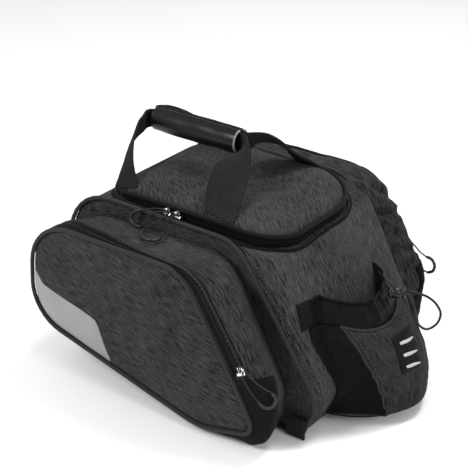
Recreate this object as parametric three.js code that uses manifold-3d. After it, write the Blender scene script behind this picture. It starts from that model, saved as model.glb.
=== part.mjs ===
// A soft bag that lies on a bicycle's rear carrier: a hollow trunk with a domed lid, an
// expanding pocket on each side, a bottle pocket at the rear and a carry handle over the lid.
// Millimetres. X runs from the bag's front (-) to its rear (+), Y from the near side (-) to the
// far side (+), Z up from the surface that the bag stands on.
import * as THREE from 'three';
import { mergeVertices } from 'three/addons/utils/BufferGeometryUtils.js';
import Module from 'manifold-3d';

const wasm = await Module();
wasm.setup();

// Cloth, foam and gaps
const GAP = 0.35;            // between two pieces that touch
const SKIN_GAP = 0.7;        // under a patch or tape on a sloping wall
const FOAM_WALL = 3;         // padded trunk and lid walls
const CLOTH_WALL = 2;        // side pockets and bottle pocket
const TAPE_THICK = 1.2;      // zipper tapes, patches and bands
const PIPING_RADIUS = 2.3;
const BASE_THICK = 2.5;

// Trunk
const TRUNK_LENGTH = 324;
const TRUNK_WIDTH = 198;
const TRUNK_HEIGHT = 195;
const TRUNK_MIDDLE_X = -12;

// Lid
const LID_LENGTH = 216;
const LID_WIDTH = 166;
const LID_MIDDLE_X = -21.5;
const LID_MIDDLE_Y = -3;
const LID_FRONT_CORNER = 32;
const LID_REAR_CORNER = 42;
const LID_FAR_CORNER = 62;
const LID_EDGE_RISE = 7;     // lid's piping above the trunk's top
const LID_CROWN = 15;        // dome above the lid's piping
const LID_END_DIP = 6;
const LID_LEDGE = 13;        // trunk's rim that the lid lies on
const BAND_DEPTH = 30;       // lid's side band, before the trunk's top cuts it off
const ZIPPER_WIDTH = 8;

// Side pockets
const POCKET_LENGTH = 320;
const POCKET_HEIGHT = 190;
const POCKET_DEPTH = 57;
const POCKET_MIDDLE_X = -26;
const POCKET_ZIPPER_WIDTH = 19;
const POCKET_BAND_HEIGHT = 17;

// Bottle pocket
const BOTTLE_DEPTH = 66;     // from the trunk's rear foot to the front panel's foot
const BOTTLE_HALF_WIDTH = 80;
const BOTTLE_HEIGHT = 84;    // hem above the pocket's underside, at the lowest point of the hem
const BOTTLE_FLOOR_Z = 13;
const BOTTLE_MIDDLE_Y = 6;
const HEM_RISE = 17;         // hem at its ends above the hem at its middle
const HEM_REACH = 64;        // from the hem's middle to where it has risen
const SEAM_FOOT_Y = 40;      // seam of net and front panel at its foot, from the pocket's middle
const SEAM_LEAN = 0.215;     // how far it moves outwards for each millimetre of height
const COLLAR_HEIGHT = 25;
const COLLAR_THICK = 1.4;
const NET_HOLE = 6.4;
const NET_PITCH = 10.4;

// Carry handle
const STRAP_WIDTH = 38;
const STRAP_THICK = 2;
const HANDLE_SPAN = 131;     // between the two legs of a strap, along the bag
const HANDLE_MIDDLE_X = -50.5;
const HANDLE_RISE = 54;      // strap's height in the wrap above the lid's edge
const WRAP_LENGTH = 110;
const WRAP_INNER_HALF_WIDTH = 11.5;
const WRAP_INNER_HALF_HEIGHT = 12;
const WRAP_THICK = 2.2;
const WRAP_MIDDLE_X = -70;
const WRAP_MIDDLE_Y = -8;
const WRAP_SLOT_FROM = 62;   // the wrap's two edges, in degrees from the far side upwards
const WRAP_SLOT_TO = 96;
const STRAP_SPREAD = 2.5;    // each strap from the middle of the wrap

// Sliders, cords and straps
const SLIDER_LENGTH = 9.6;
const SLIDER_WIDTH = 6.4;
const SLIDER_PLATE = 2.3;
const EYE_HEIGHT = 4;        // arch of the eye above the slider's plate
const EYE_LENGTH = 3;
const EYE_HOLE = 3.8;
const LID_SLIDERS_X = [-43.2, -30.2];
const LID_SLIDER_OUT = 7.9;   // from the lid's edge outwards
const POCKET_SLIDERS = { near: { height: 0.4974, stage: 1.61 }, far: { height: 0.5316, stage: 1.6 } };
const PULL_CORD_RADIUS = 0.8;
const PULL_TUBE_RADIUS = 1.7;
const PULL_STEPS = 17;
const TUBE_STEPS = 7;
const SHOCK_CORD_RADIUS = 1.25;
const LOCK_RADIUS = 6;
const LOCK_LENGTH = 17;
const SHOCK_STEPS = 38;
const LOCK_MIDDLE = [165.6, 17.2, 126];
const LOCK_AXIS = [0.8, 0.6, -0.04];
const CORD_HOLE = 2.1;       // radius of the lock's two holes
const RACK_STRAP_WIDTH = 21;
const RACK_STRAP_HEIGHT = 25;
const RACK_STRAP_THICK = 1.6;

const ARC_STEPS = 4;         // facets in each rounded corner of an outline
const CORD_SIDES = 8;

// Ends of the pocket's zipper, and the patch over its rear end
const ZIPPER_FRONT_Z = 128;
const ZIPPER_BREAK_X = -60;
const ZIPPER_END_Z = 82;
const CORNER_FRONT_X = 70;
const FAR_OUT = 400;         // well outside the bag, for cutting blocks

const TRUNK_FLOOR_Z = BASE_THICK + GAP;
const TRUNK_HALF = TRUNK_WIDTH / 2;
const LID_EDGE_Z = TRUNK_HEIGHT + LID_EDGE_RISE;
const POCKET_BACK = TRUNK_HALF + GAP;
const PIPING_SEAT = PIPING_RADIUS + GAP;   // from a seam's edge to the middle of its piping
const PIPING_OUT = 0.66 * PIPING_SEAT;     // from the panel's outline to the middle of its piping
const PIPING_EDGE = PIPING_OUT + PIPING_SEAT;

// Colours, from the charcoal cloth to the bare metal
const COLOURS = {
  heather: { color: 0x4a4a4c, roughness: 0.95, metalness: 0 },
  panel: { color: 0x38383a, roughness: 0.95, metalness: 0 },
  twill: { color: 0x1d1d1f, roughness: 0.9, metalness: 0 },
  webbing: { color: 0x222224, roughness: 0.85, metalness: 0 },
  piping: { color: 0x2b2b2d, roughness: 0.7, metalness: 0 },
  tape: { color: 0x161617, roughness: 0.85, metalness: 0 },
  leather: { color: 0x141415, roughness: 0.4, metalness: 0 },
  net: { color: 0x0f0f10, roughness: 0.9, metalness: 0 },
  reflective: { color: 0x9b9b9d, roughness: 0.5, metalness: 0.1 },
  rubber: { color: 0x1a1a1b, roughness: 0.6, metalness: 0 },
  metal: { color: 0xc8c8cc, roughness: 0.25, metalness: 1 },
  cord: { color: 0x2a2a2c, roughness: 0.8, metalness: 0 },
};

// Outlines of the trunk, seen from the near side. x is a share of the trunk's length from its
// middle, z a share of its height above the floor, and r a share of its height.
const TRUNK_SIDE = [
  { at: 'front foot', x: -0.494, z: 0.0, r: 0.09 },
  { at: 'rear foot', x: 0.444, z: 0.0, r: 0.05 },
  { at: 'rear belly', x: 0.498, z: 0.225, r: 0.17 },
  { at: 'rear slope', x: 0.3, z: 0.72, r: 0.2 },
  { at: 'rear top', x: 0.185, z: 1.0, r: 0.2 },
  { at: 'front top', x: -0.5, z: 1.0, r: 0.3 },
];
const TRUNK_CENTRE = [
  { at: 'front foot', x: -0.505, z: 0.0, r: 0.09 },
  { at: 'rear foot', x: 0.45, z: 0.0, r: 0.05 },
  { at: 'rear belly', x: 0.512, z: 0.225, r: 0.17 },
  { at: 'rear slope', x: 0.382, z: 0.77, r: 0.2 },
  { at: 'rear top', x: 0.327, z: 0.955, r: 0.08 },
  { at: 'front top', x: -0.508, z: 1.0, r: 0.3 },
];
// Sections across the trunk: y is a share of half its width, centre how far the section has
// gone from the side outline to the centre one.
const TRUNK_ROWS = [
  { y: 1.0, centre: 0.0 },
  { y: 0.94, centre: 0.5 },
  { y: 0.8, centre: 0.85 },
  { y: 0.0, centre: 1.0 },
];

// Outlines of a side pocket: its seam on the trunk, its gusset, and the outer panel inside the
// piping. x is a share of the pocket's length from its middle, z and r shares of its height.
const POCKET_SEAM = [
  { at: 'front foot', x: -0.43, z: 0.33, r: 0.16 },
  { at: 'low point', x: 0.2, z: 0.06, r: 0.3 },
  { at: 'rear foot', x: 0.425, z: 0.06, r: 0.1 },
  { at: 'rear belly', x: 0.43, z: 0.26, r: 0.16 },
  { at: 'rear top', x: 0.215, z: 0.95, r: 0.22 },
  { at: 'front top', x: -0.42, z: 0.93, r: 0.28 },
];
const POCKET_GUSSET = [
  { at: 'front foot', x: -0.5, z: 0.3, r: 0.18 },
  { at: 'low point', x: 0.206, z: 0.01, r: 0.32 },
  { at: 'rear foot', x: 0.463, z: 0.022, r: 0.13 },
  { at: 'rear belly', x: 0.495, z: 0.43, r: 0.17 },
  { at: 'rear top', x: 0.29, z: 0.99, r: 0.24 },
  { at: 'front top', x: -0.468, z: 0.965, r: 0.36 },
];
const POCKET_PANEL = [
  { at: 'front foot', x: -0.488, z: 0.337, r: 0.24 },
  { at: 'low point', x: 0.222, z: 0.052, r: 0.37 },
  { at: 'rear foot', x: 0.436, z: 0.147, r: 0.06 },
  { at: 'rear belly', x: 0.357, z: 0.4, r: 0.1 },
  { at: 'rear top', x: 0.158, z: 0.942, r: 0.21 },
  { at: 'front top', x: -0.464, z: 0.93, r: 0.29 },
];
// Sections of a side pocket from the trunk outwards: depth and inset are shares of the pocket's
// depth. stage is 0 at the seam's outline, 1 at the gusset's and 2 at the panel's.
const POCKET_ROWS = [
  { depth: 0.0, stage: 0.0, inset: 0.0 },
  { depth: 0.6, stage: 0.7, inset: 0.0 },
  { depth: 0.84, stage: 1.0, inset: 0.0 },
  { depth: 0.94, stage: 1.3, inset: 0.0 },
  { depth: 1.0, stage: 2.0, inset: 0.0 },
  { depth: 1.08, stage: 2.0, inset: 0.2 },
  { depth: 1.12, stage: 2.0, inset: 0.55 },
];

// Corners of the reflective patch on the panel: shares of the pocket's length and height.
const REFLECTIVE = [
  { x: -0.55, z: 0.1 },
  { x: -0.146, z: 0.1 },
  { x: -0.144, z: 0.24 },
  { x: -0.178, z: 0.43 },
  { x: -0.192, z: 0.465 },
  { x: -0.215, z: 0.478 },
  { x: -0.425, z: 0.563 },
  { x: -0.48, z: 0.64 },
  { x: -0.55, z: 0.72 },
];

// Sections of the lid from its band up to its crown: rise is a share of the band's depth below
// the edge and of the crown above it, inset a share of half the lid's width.
const LID_ROWS = [
  { band: -1.0, crown: 0.0, inset: -0.035 },
  { band: 0.0, crown: 0.0, inset: 0.0 },
  { band: 0.0, crown: 0.36, inset: 0.05 },
  { band: 0.0, crown: 0.7, inset: 0.19 },
  { band: 0.0, crown: 0.92, inset: 0.42 },
  { band: 0.0, crown: 1.0, inset: 0.7 },
];

// A strap from its front leg to its rear leg. along is a share of the handle's span from its
// middle, out how far it has gone from the wrap to the lid's edge, rise a share of the handle's
// rise, wide a share of the strap's width, and lean the angle of its width above the bag's
// length, in degrees.
const STRAP_ROWS = [
  { along: -0.455, out: 0.94, rise: 0.03, wide: 0.8, lean: 0 },
  { along: -0.47, out: 0.9, rise: 0.16, wide: 0.72, lean: 8 },
  { along: -0.53, out: 0.74, rise: 0.46, wide: 0.56, lean: 46 },
  { along: -0.6, out: 0.5, rise: 0.74, wide: 0.52, lean: 64 },
  { along: -0.63, out: 0.22, rise: 0.93, wide: 0.54, lean: 80 },
  { along: -0.58, out: 0.0, rise: 1.0, wide: 0.54, lean: 88 },
  { along: 0.0, out: 0.0, rise: 1.0, wide: 0.54, lean: 90 },
  { along: 0.3, out: 0.0, rise: 1.0, wide: 0.54, lean: 88 },
  { along: 0.37, out: 0.24, rise: 0.95, wide: 0.8, lean: 30 },
  { along: 0.42, out: 0.5, rise: 0.76, wide: 1.02, lean: -14 },
  { along: 0.46, out: 0.76, rise: 0.44, wide: 1.04, lean: -16 },
  { along: 0.5, out: 0.93, rise: 0.14, wide: 0.98, lean: -4 },
  { along: 0.5, out: 0.985, rise: 0.02, wide: 0.95, lean: 0 },
];

// Sections of the bottle pocket, from its underside up to its hem. height is a share of the hem's
// height there, back and reach shares of the pocket's depth, half its half width and near how far
// its middle has moved to the near side, both shares of its half width at the foot, and round the
// power of its plan outline.
const BOTTLE_ROWS = [
  { height: 0.0, back: 0.0, reach: 1.06, half: 0.9, near: 0.0, round: 1.75 },
  { height: 0.06, back: 0.0, reach: 1.12, half: 0.96, near: 0.0, round: 1.75 },
  { height: 0.4, back: 0.06, reach: 1.09, half: 0.96, near: 0.02, round: 1.9 },
  { height: 0.79, back: 0.15, reach: 0.9, half: 0.88, near: 0.07, round: 2.0 },
  { height: 1.0, back: 0.2, reach: 0.7, half: 0.79, near: 0.11, round: 2.0 },
];
// Sections of its collar. rise is a share of the collar's height above the hem.
const COLLAR_ROWS = [
  { rise: 0.0, back: 0.2, reach: 0.695, half: 0.785, near: 0.11, round: 2.0 },
  { rise: 0.45, back: 0.25, reach: 0.66, half: 0.74, near: 0.1, round: 2.0 },
  { rise: 1.0, back: 0.33, reach: 0.59, half: 0.66, near: 0.09, round: 2.0 },
];

// Corners of the rubber patch on the bottle pocket's front, and its three slits: y across the bag
// and z above the floor, each a share of the pocket's half width and of its height.
const SLIT_PATCH = [
  { y: -0.26, z: 0.5 },
  { y: 0.2, z: 0.46 },
  { y: 0.37, z: 0.84 },
  { y: -0.22, z: 0.91 },
];
const SLITS = [
  { from: -0.16, to: 0.13, z: 0.56 },
  { from: -0.13, to: 0.18, z: 0.68 },
  { from: -0.1, to: 0.24, z: 0.81 },
];

// Routes of the cords, chosen by hand, in millimetres. The thin cord of a pull runs from one end
// of its soft tube through the slider's eye to the tube's other end.
const PULLS = [
  {
    label: 'lid_front',
    cord: [
      [-67.7, -106.4, 199.7], [-57, -101.6, 202.4], [-51, -96, 201.8], [-47.6, -94.1, 201.2], [-44.6, -93.9, 201.1],
      [-41.8, -94.4, 201.3], [-40, -97.4, 201.9], [-42, -100.4, 202.3], [-48, -102, 202], [-54.5, -104.6, 198.8],
      [-60.4, -108, 191], [-64.2, -112.4, 184],
    ],
    tube: [
      [-68.4, -106.6, 199.4], [-75.6, -107.2, 196], [-80.6, -108.4, 190.4], [-79.4, -110, 185.4], [-73.4, -111.4, 183.2],
      [-65.4, -112.6, 183.4],
    ],
  },
  {
    label: 'lid_rear',
    cord: [
      [-57.8, -112.8, 184.4], [-50.6, -110.8, 189.4], [-43.6, -107.6, 195], [-39.4, -103.8, 200], [-37.4, -99.2, 202.2],
      [-35, -94.6, 201.3], [-31.6, -93.9, 201.1], [-28.6, -94.4, 201.3], [-26.6, -97.4, 201.9], [-28.4, -100.6, 202.4],
      [-32.2, -104.4, 200.2], [-34.2, -107.4, 193.4], [-34.6, -111, 186.4], [-33.1, -116.7, 184.3],
    ],
    tube: [
      [-58.2, -114.4, 183.8], [-54, -122, 184.6], [-47, -130.5, 186], [-38, -135.2, 187], [-30.6, -132, 186.6],
      [-29.6, -124.5, 185.2], [-32.8, -117.4, 184.2],
    ],
  },
  {
    label: 'pocket_near',
    cord: [
      [118.2, -157.7, 68.1], [111, -158.8, 75.4], [105, -159.6, 83.5], [100.7, -160.1, 90.4], [98.1, -159.9, 94.7],
      [96.4, -160.3, 98.4], [98.4, -160.6, 101.8], [102.4, -160.2, 101], [107, -159.8, 96.4], [114, -158.6, 90.4],
      [122, -156.4, 84.8], [130.5, -153, 80.5],
    ],
    tube: [
      [118.7, -157.6, 67.6], [123.3, -156.2, 63], [129, -154, 62.6], [133.4, -151.9, 67.6], [134.4, -151.2, 74.6],
      [131, -152.8, 80],
    ],
  },
  {
    label: 'pocket_far',
    cord: [
      [124.9, 157.5, 75.5], [116.6, 157.8, 78.8], [109, 158.6, 84.6], [101.5, 159.5, 91.2], [96.9, 160.1, 97.2],
      [94.4, 160.1, 101.2], [92.8, 160.4, 104.8], [94.6, 160.8, 108.2], [98.6, 160.4, 107.6], [106.6, 159.2, 103.4],
      [115, 158, 98], [123.1, 157.2, 95],
    ],
    tube: [
      [123.8, 157.2, 94.8], [130.5, 157, 94], [134.9, 157, 87.6], [133.2, 157, 79.6], [126.2, 157.4, 75.6],
    ],
  },
];
const SHOCK_CORD = [
  [153.2, 11.3, 120.4], [154.2, 12.1, 124.2], [157.2, 14.3, 126.1], [163.9, 19.4, 126], [170.8, 24.5, 125.7],
  [175.5, 28, 125.3], [182, 34, 122.8], [189.6, 41, 117.8], [196, 47.5, 109], [200, 51.5, 97],
  [198, 48.8, 85.6], [191.4, 40.6, 80.4], [185.8, 32, 88], [182.8, 27, 103], [181.6, 25.6, 114.5],
  [179.2, 23.9, 122], [174.1, 20.1, 125.6], [167.2, 15, 126], [160.5, 9.9, 126.1], [157.5, 7.7, 124.2],
  [156.5, 6.9, 120.4],
];

// Geometry helpers

function geometryOf(points, faces) {
  const geometry = new THREE.BufferGeometry();
  geometry.setAttribute('position', new THREE.Float32BufferAttribute(points.flat(), 3));
  geometry.setIndex(faces.flat());
  return geometry;
}

function solid(geometry) {
  const bare = geometry.clone();
  bare.deleteAttribute('normal');
  bare.deleteAttribute('uv');
  const merged = mergeVertices(bare, 1e-4);
  const body = new wasm.Manifold(new wasm.Mesh({
    numProp: 3,
    vertProperties: Float32Array.from(merged.attributes.position.array),
    triVerts: Uint32Array.from(merged.index.array),
  }));
  return body;
}

function geometryFrom(body) {
  const mesh = body.getMesh();
  const geometry = new THREE.BufferGeometry();
  geometry.setAttribute('position', new THREE.BufferAttribute(Float32Array.from(mesh.vertProperties), 3));
  geometry.setIndex(new THREE.BufferAttribute(Uint32Array.from(mesh.triVerts), 1));
  geometry.computeVertexNormals();
  return geometry;
}

// Signed volume of a closed mesh, to find out which way its faces point.
function volume(points, faces) {
  let sum = 0;
  for (const [a, b, c] of faces) {
    const [p, q, r] = [points[a], points[b], points[c]];
    sum += p[0] * (q[1] * r[2] - q[2] * r[1])
      + p[1] * (q[2] * r[0] - q[0] * r[2])
      + p[2] * (q[0] * r[1] - q[1] * r[0]);
  }
  return sum;
}

function closedBody(points, faces) {
  const outward = volume(points, faces) < 0 ? faces.map(([a, b, c]) => [a, c, b]) : faces;
  return solid(geometryOf(points, outward));
}

// A closed body through rings of the same number of points, with a fan at each end.
function loft(rings) {
  const count = rings[0].length;
  const points = rings.flat();
  const faces = [];
  for (let row = 0; row + 1 < rings.length; row += 1) {
    for (let i = 0; i < count; i += 1) {
      const [a, b] = [row * count + i, row * count + ((i + 1) % count)];
      faces.push([a, b, a + count], [b, b + count, a + count]);
    }
  }
  for (const [row, turned] of [[0, true], [rings.length - 1, false]]) {
    const ring = rings[row];
    const middle = [0, 1, 2].map((axis) => ring.reduce((sum, p) => sum + p[axis], 0) / count);
    points.push(middle);
    const hub = points.length - 1;
    for (let i = 0; i < count; i += 1) {
      const [a, b] = [row * count + i, row * count + ((i + 1) % count)];
      faces.push(turned ? [b, a, hub] : [a, b, hub]);
    }
  }
  return closedBody(points, faces);
}

// A round hoop of the given radius along a closed ring of points; up lies across the ring.
function hoop(ring, up, radius, sides) {
  const points = [];
  const faces = [];
  const count = ring.length;
  ring.forEach((point, i) => {
    const before = new THREE.Vector3(...ring[(i + count - 1) % count]);
    const after = new THREE.Vector3(...ring[(i + 1) % count]);
    const across = after.sub(before).cross(up).normalize();
    for (let s = 0; s < sides; s += 1) {
      const turn = (s + 0.5) * 2 * Math.PI / sides;
      const offset = across.clone().multiplyScalar(Math.cos(turn) * radius)
        .addScaledVector(up, Math.sin(turn) * radius);
      points.push([point[0] + offset.x, point[1] + offset.y, point[2] + offset.z]);
    }
  });
  for (let i = 0; i < count; i += 1) {
    for (let s = 0; s < sides; s += 1) {
      const [a, b] = [i * sides + s, i * sides + ((s + 1) % sides)];
      const [c, d] = [((i + 1) % count) * sides + s, ((i + 1) % count) * sides + ((s + 1) % sides)];
      faces.push([a, b, c], [b, d, c]);
    }
  }
  return closedBody(points, faces);
}

// A round cord along a route of hand-chosen points, with flat ends.
function cordGeometry(route, radius, steps) {
  const circle = new THREE.Shape();
  circle.absarc(0, 0, radius, 0, 2 * Math.PI, false);
  const path = new THREE.CatmullRomCurve3(route.map((p) => new THREE.Vector3(...p)), false, 'centripetal');
  return new THREE.ExtrudeGeometry(circle, { extrudePath: path, steps, curveSegments: CORD_SIDES / 2, bevelEnabled: false });
}

// A thick sheet from a grid of points, each pushed both ways along the sheet's normal there.
function thickSheet(grid, thickness) {
  const [rows, columns] = [grid.length, grid[0].length];
  const at = (i, j) => new THREE.Vector3(...grid[i][j]);
  const sides = [[], []];
  for (let i = 0; i < rows; i += 1) {
    for (let j = 0; j < columns; j += 1) {
      const along = at(Math.min(i + 1, rows - 1), j).sub(at(Math.max(i - 1, 0), j));
      const across = at(i, Math.min(j + 1, columns - 1)).sub(at(i, Math.max(j - 1, 0)));
      const normal = along.cross(across).normalize();
      sides[0].push(at(i, j).addScaledVector(normal, thickness / 2).toArray());
      sides[1].push(at(i, j).addScaledVector(normal, -thickness / 2).toArray());
    }
  }
  const points = sides.flat();
  const under = rows * columns;
  const faces = [];
  for (let i = 0; i + 1 < rows; i += 1) {
    for (let j = 0; j + 1 < columns; j += 1) {
      const a = i * columns + j;
      faces.push([a, a + columns, a + 1], [a + 1, a + columns, a + columns + 1]);
      faces.push([under + a, under + a + 1, under + a + columns]);
      faces.push([under + a + 1, under + a + columns + 1, under + a + columns]);
    }
  }
  const rim = [];
  for (let j = 0; j < columns - 1; j += 1) rim.push(j);
  for (let i = 0; i < rows - 1; i += 1) rim.push(i * columns + columns - 1);
  for (let j = columns - 1; j > 0; j -= 1) rim.push((rows - 1) * columns + j);
  for (let i = rows - 1; i > 0; i -= 1) rim.push(i * columns);
  rim.forEach((a, k) => {
    const b = rim[(k + 1) % rim.length];
    faces.push([a, b, under + a], [b, under + b, under + a]);
  });
  return closedBody(points, faces);
}

// A rounded outline from corners {x, z, r}, counter-clockwise, moved outwards by grow.
function roundedOutline(corners, grow) {
  const count = corners.length;
  const edges = corners.map((corner, i) => {
    const next = corners[(i + 1) % count];
    const length = Math.hypot(next.x - corner.x, next.z - corner.z);
    const normal = { x: (next.z - corner.z) / length, z: -(next.x - corner.x) / length };
    return { normal, offset: normal.x * corner.x + normal.z * corner.z + grow };
  });
  const meeting = (e, f) => {
    const det = e.normal.x * f.normal.z - e.normal.z * f.normal.x;
    return {
      x: (e.offset * f.normal.z - f.offset * e.normal.z) / det,
      z: (f.offset * e.normal.x - e.offset * f.normal.x) / det,
    };
  };
  const outline = [];
  corners.forEach((corner, i) => {
    const before = edges[(i + count - 1) % count];
    const after = edges[i];
    const tip = meeting(before, after);
    const radius = Math.max(corner.r + grow, 0.5);
    const start = Math.atan2(before.normal.z, before.normal.x);
    let sweep = Math.atan2(after.normal.z, after.normal.x) - start;
    if (sweep < 0) sweep += 2 * Math.PI;
    const reach = radius / Math.cos(sweep / 2);
    const centre = {
      x: tip.x - Math.cos(start + sweep / 2) * reach,
      z: tip.z - Math.sin(start + sweep / 2) * reach,
    };
    for (let step = 0; step <= ARC_STEPS; step += 1) {
      const turn = start + sweep * step / ARC_STEPS;
      outline.push([centre.x + Math.cos(turn) * radius, centre.z + Math.sin(turn) * radius]);
    }
  });
  return outline;
}

function between(from, to, share) {
  return from.map((corner, i) => ({
    x: corner.x + (to[i].x - corner.x) * share,
    z: corner.z + (to[i].z - corner.z) * share,
    r: corner.r + (to[i].r - corner.r) * share,
  }));
}

function scaled(corners, middle, length, floor, height) {
  return corners.map(({ x, z, r }) => ({
    x: middle + x * length,
    z: floor + z * height,
    r: r * height,
  }));
}

function box(low, high) {
  const size = [0, 1, 2].map((axis) => high[axis] - low[axis]);
  const geometry = new THREE.BoxGeometry(...size);
  geometry.translate(...[0, 1, 2].map((axis) => (low[axis] + high[axis]) / 2));
  return solid(geometry);
}

// Forms that several pieces share

const trunkSide = scaled(TRUNK_SIDE, TRUNK_MIDDLE_X, TRUNK_LENGTH, TRUNK_FLOOR_Z, TRUNK_HEIGHT - TRUNK_FLOOR_Z);
const trunkCentre = scaled(TRUNK_CENTRE, TRUNK_MIDDLE_X, TRUNK_LENGTH, TRUNK_FLOOR_Z, TRUNK_HEIGHT - TRUNK_FLOOR_Z);
const pocketGusset = scaled(POCKET_GUSSET, POCKET_MIDDLE_X, POCKET_LENGTH, 0, POCKET_HEIGHT);
const pocketPanel = scaled(POCKET_PANEL, POCKET_MIDDLE_X, POCKET_LENGTH, 0, POCKET_HEIGHT);
const pocketSeam = scaled(POCKET_SEAM, POCKET_MIDDLE_X, POCKET_LENGTH, 0, POCKET_HEIGHT);

// The trunk's outer form, with its surface moved outwards by grow.
function trunkForm(grow) {
  const rows = [
    ...TRUNK_ROWS.map((row) => ({ ...row, y: -row.y })),
    ...TRUNK_ROWS.slice(0, -1).reverse(),
  ];
  return loft(rows.map((row) => {
    const y = row.y * (TRUNK_HALF + grow);
    return roundedOutline(between(trunkSide, trunkCentre, row.centre), grow).map(([x, z]) => [x, y, z]);
  }));
}

function pocketCorners(stage) {
  if (stage < 1) return between(pocketSeam, pocketGusset, stage);
  return between(pocketGusset, pocketPanel, stage - 1);
}

// The place across the bag of a pocket's section. Where its surface is moved outwards by grow,
// only the part from the gusset's widest section outwards moves across the bag.
function pocketY(side, depth, grow) {
  const widest = POCKET_ROWS.find((row) => row.stage >= 1).depth;
  const outwards = THREE.MathUtils.clamp((depth - widest) / (1 - widest), 0, 1);
  return side * (POCKET_BACK + depth * POCKET_DEPTH + grow * outwards);
}

// A side pocket's outer form, with its surface moved outwards by grow. Its back stays against
// the trunk, moved by back.
function pocketForm(side, grow, back = 0) {
  return loft(POCKET_ROWS.map((row, i) => {
    const y = i === 0 ? side * (POCKET_BACK + back) : pocketY(side, row.depth, grow);
    const corners = pocketCorners(row.stage);
    return roundedOutline(corners, grow - row.inset * POCKET_DEPTH).map(([x, z]) => [x, y, z]);
  }));
}

function lidPlan(grow) {
  const [halfLength, halfWidth] = [LID_LENGTH / 2, LID_WIDTH / 2];
  const corners = [[-1, -1], [1, -1], [1, 1], [-1, 1]].map(([x, y]) => ({
    x: LID_MIDDLE_X + x * halfLength,
    z: LID_MIDDLE_Y + y * halfWidth,
    r: x < 0 ? LID_FRONT_CORNER : (y < 0 ? LID_REAR_CORNER : LID_FAR_CORNER),
  }));
  return roundedOutline(corners, grow);
}

// The lid's edge is level over most of its length and dips towards both ends.
function lidEdgeZ(x) {
  const share = (x - LID_MIDDLE_X) / (LID_LENGTH / 2);
  return LID_EDGE_Z - LID_END_DIP * share ** 4;
}

function lidForm(grow) {
  return loft(LID_ROWS.map((row) => {
    const rise = row.band * BAND_DEPTH + row.crown * LID_CROWN + (row.crown > 0 ? grow : 0);
    return lidPlan(grow - row.inset * LID_WIDTH / 2).map(([x, y]) => [x, y, lidEdgeZ(x) + rise]);
  }));
}

function lidPrism(grow, low, high) {
  return loft([low, high].map((z) => lidPlan(grow).map(([x, y]) => [x, y, z])));
}

const trunkSkin = trunkForm(GAP);

// Pieces of the trunk

function basePanel() {
  const inset = 6;
  const corners = [[-1, -1], [1, -1], [1, 1], [-1, 1]].map(([x, y]) => ({
    x: x < 0 ? trunkSide[0].x + inset : trunkSide[1].x - inset,
    z: y * (TRUNK_HALF - inset),
    r: 12,
  }));
  return loft([0, BASE_THICK].map((z) => roundedOutline(corners, 0).map(([x, y]) => [x, y, z])));
}

function trunkShell() {
  const mouth = lidPrism(-LID_LEDGE, TRUNK_HEIGHT * 0.75, LID_EDGE_Z + LID_CROWN);
  return trunkForm(0).subtract(trunkForm(-FOAM_WALL)).subtract(mouth);
}

function lid() {
  const inner = lidForm(-FOAM_WALL);
  const below = lidPrism(-FOAM_WALL, LID_EDGE_Z - 2 * BAND_DEPTH, LID_EDGE_Z - BAND_DEPTH + 1);
  return lidForm(0).subtract(inner).subtract(below).subtract(trunkSkin);
}

function lidPiping(radius = PIPING_RADIUS) {
  const ring = lidPlan(0.8 * PIPING_SEAT).map(([x, y]) => [x, y, lidEdgeZ(x) + 0.6 * PIPING_SEAT]);
  return hoop(ring, new THREE.Vector3(0, 0, 1), radius, 5);
}

function lidZipper() {
  const low = TRUNK_HEIGHT - 0.9 * BAND_DEPTH;
  const high = LID_EDGE_Z + LID_CROWN;
  const ring = lidPrism(ZIPPER_WIDTH + 3.2, low, high).subtract(lidPrism(3.6, low - 1, high + 1));
  return ring.intersect(trunkForm(SKIN_GAP + TAPE_THICK)).subtract(trunkForm(SKIN_GAP));
}

// The piping lies against the trunk's side wall along its edge, and bears on the floor.
function seamPiping(side) {
  const y = side * (TRUNK_HALF + PIPING_SEAT);
  const ring = roundedOutline(trunkSide, PIPING_SEAT / 2).map(([x, z]) => [x, y, Math.max(z, PIPING_RADIUS)]);
  return hoop(ring, new THREE.Vector3(0, 1, 0), PIPING_RADIUS, 5);
}

// Pieces of a side pocket

function pocketShell(side) {
  return pocketForm(side, 0).subtract(pocketForm(side, -CLOTH_WALL, -1));
}

function pocketPiping(side, radius = PIPING_RADIUS) {
  const y = side * (POCKET_BACK + POCKET_DEPTH + 0.84 * PIPING_SEAT);
  const ring = roundedOutline(pocketPanel, PIPING_OUT).map(([x, z]) => [x, y, z]);
  return hoop(ring, new THREE.Vector3(0, 1, 0), radius, 5);
}

// A skin of the pocket's form, of the given thickness, which strips and patches are cut from.
function pocketSkin(side, thickness) {
  return pocketForm(side, SKIN_GAP + thickness).subtract(pocketForm(side, SKIN_GAP));
}

function prism(corners, grow, nearY, farY) {
  const ring = roundedOutline(corners, grow);
  return loft([nearY, farY].map((y) => ring.map(([x, z]) => [x, y, z])));
}

function slab(corners, nearY, farY) {
  return loft([nearY, farY].map((y) => corners.map(([x, z]) => [x, y, z])));
}

// The zipper runs outside the panel's piping, along its front, top and rear.
function pocketZipper(side) {
  const shallow = side * (POCKET_BACK + POCKET_DEPTH * 0.76);
  const ring = prism(pocketPanel, PIPING_EDGE + POCKET_ZIPPER_WIDTH, shallow, side * FAR_OUT)
    .subtract(prism(pocketPanel, PIPING_EDGE, 0, side * 2 * FAR_OUT));
  const cut = slab([[-FAR_OUT, -FAR_OUT], [FAR_OUT, -FAR_OUT], [FAR_OUT, ZIPPER_END_Z],
    [ZIPPER_BREAK_X, ZIPPER_END_Z], [ZIPPER_BREAK_X, ZIPPER_FRONT_Z], [-FAR_OUT, ZIPPER_FRONT_Z]],
  0, side * 2 * FAR_OUT);
  return pocketSkin(side, TAPE_THICK).intersect(ring).subtract(cut);
}

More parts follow.
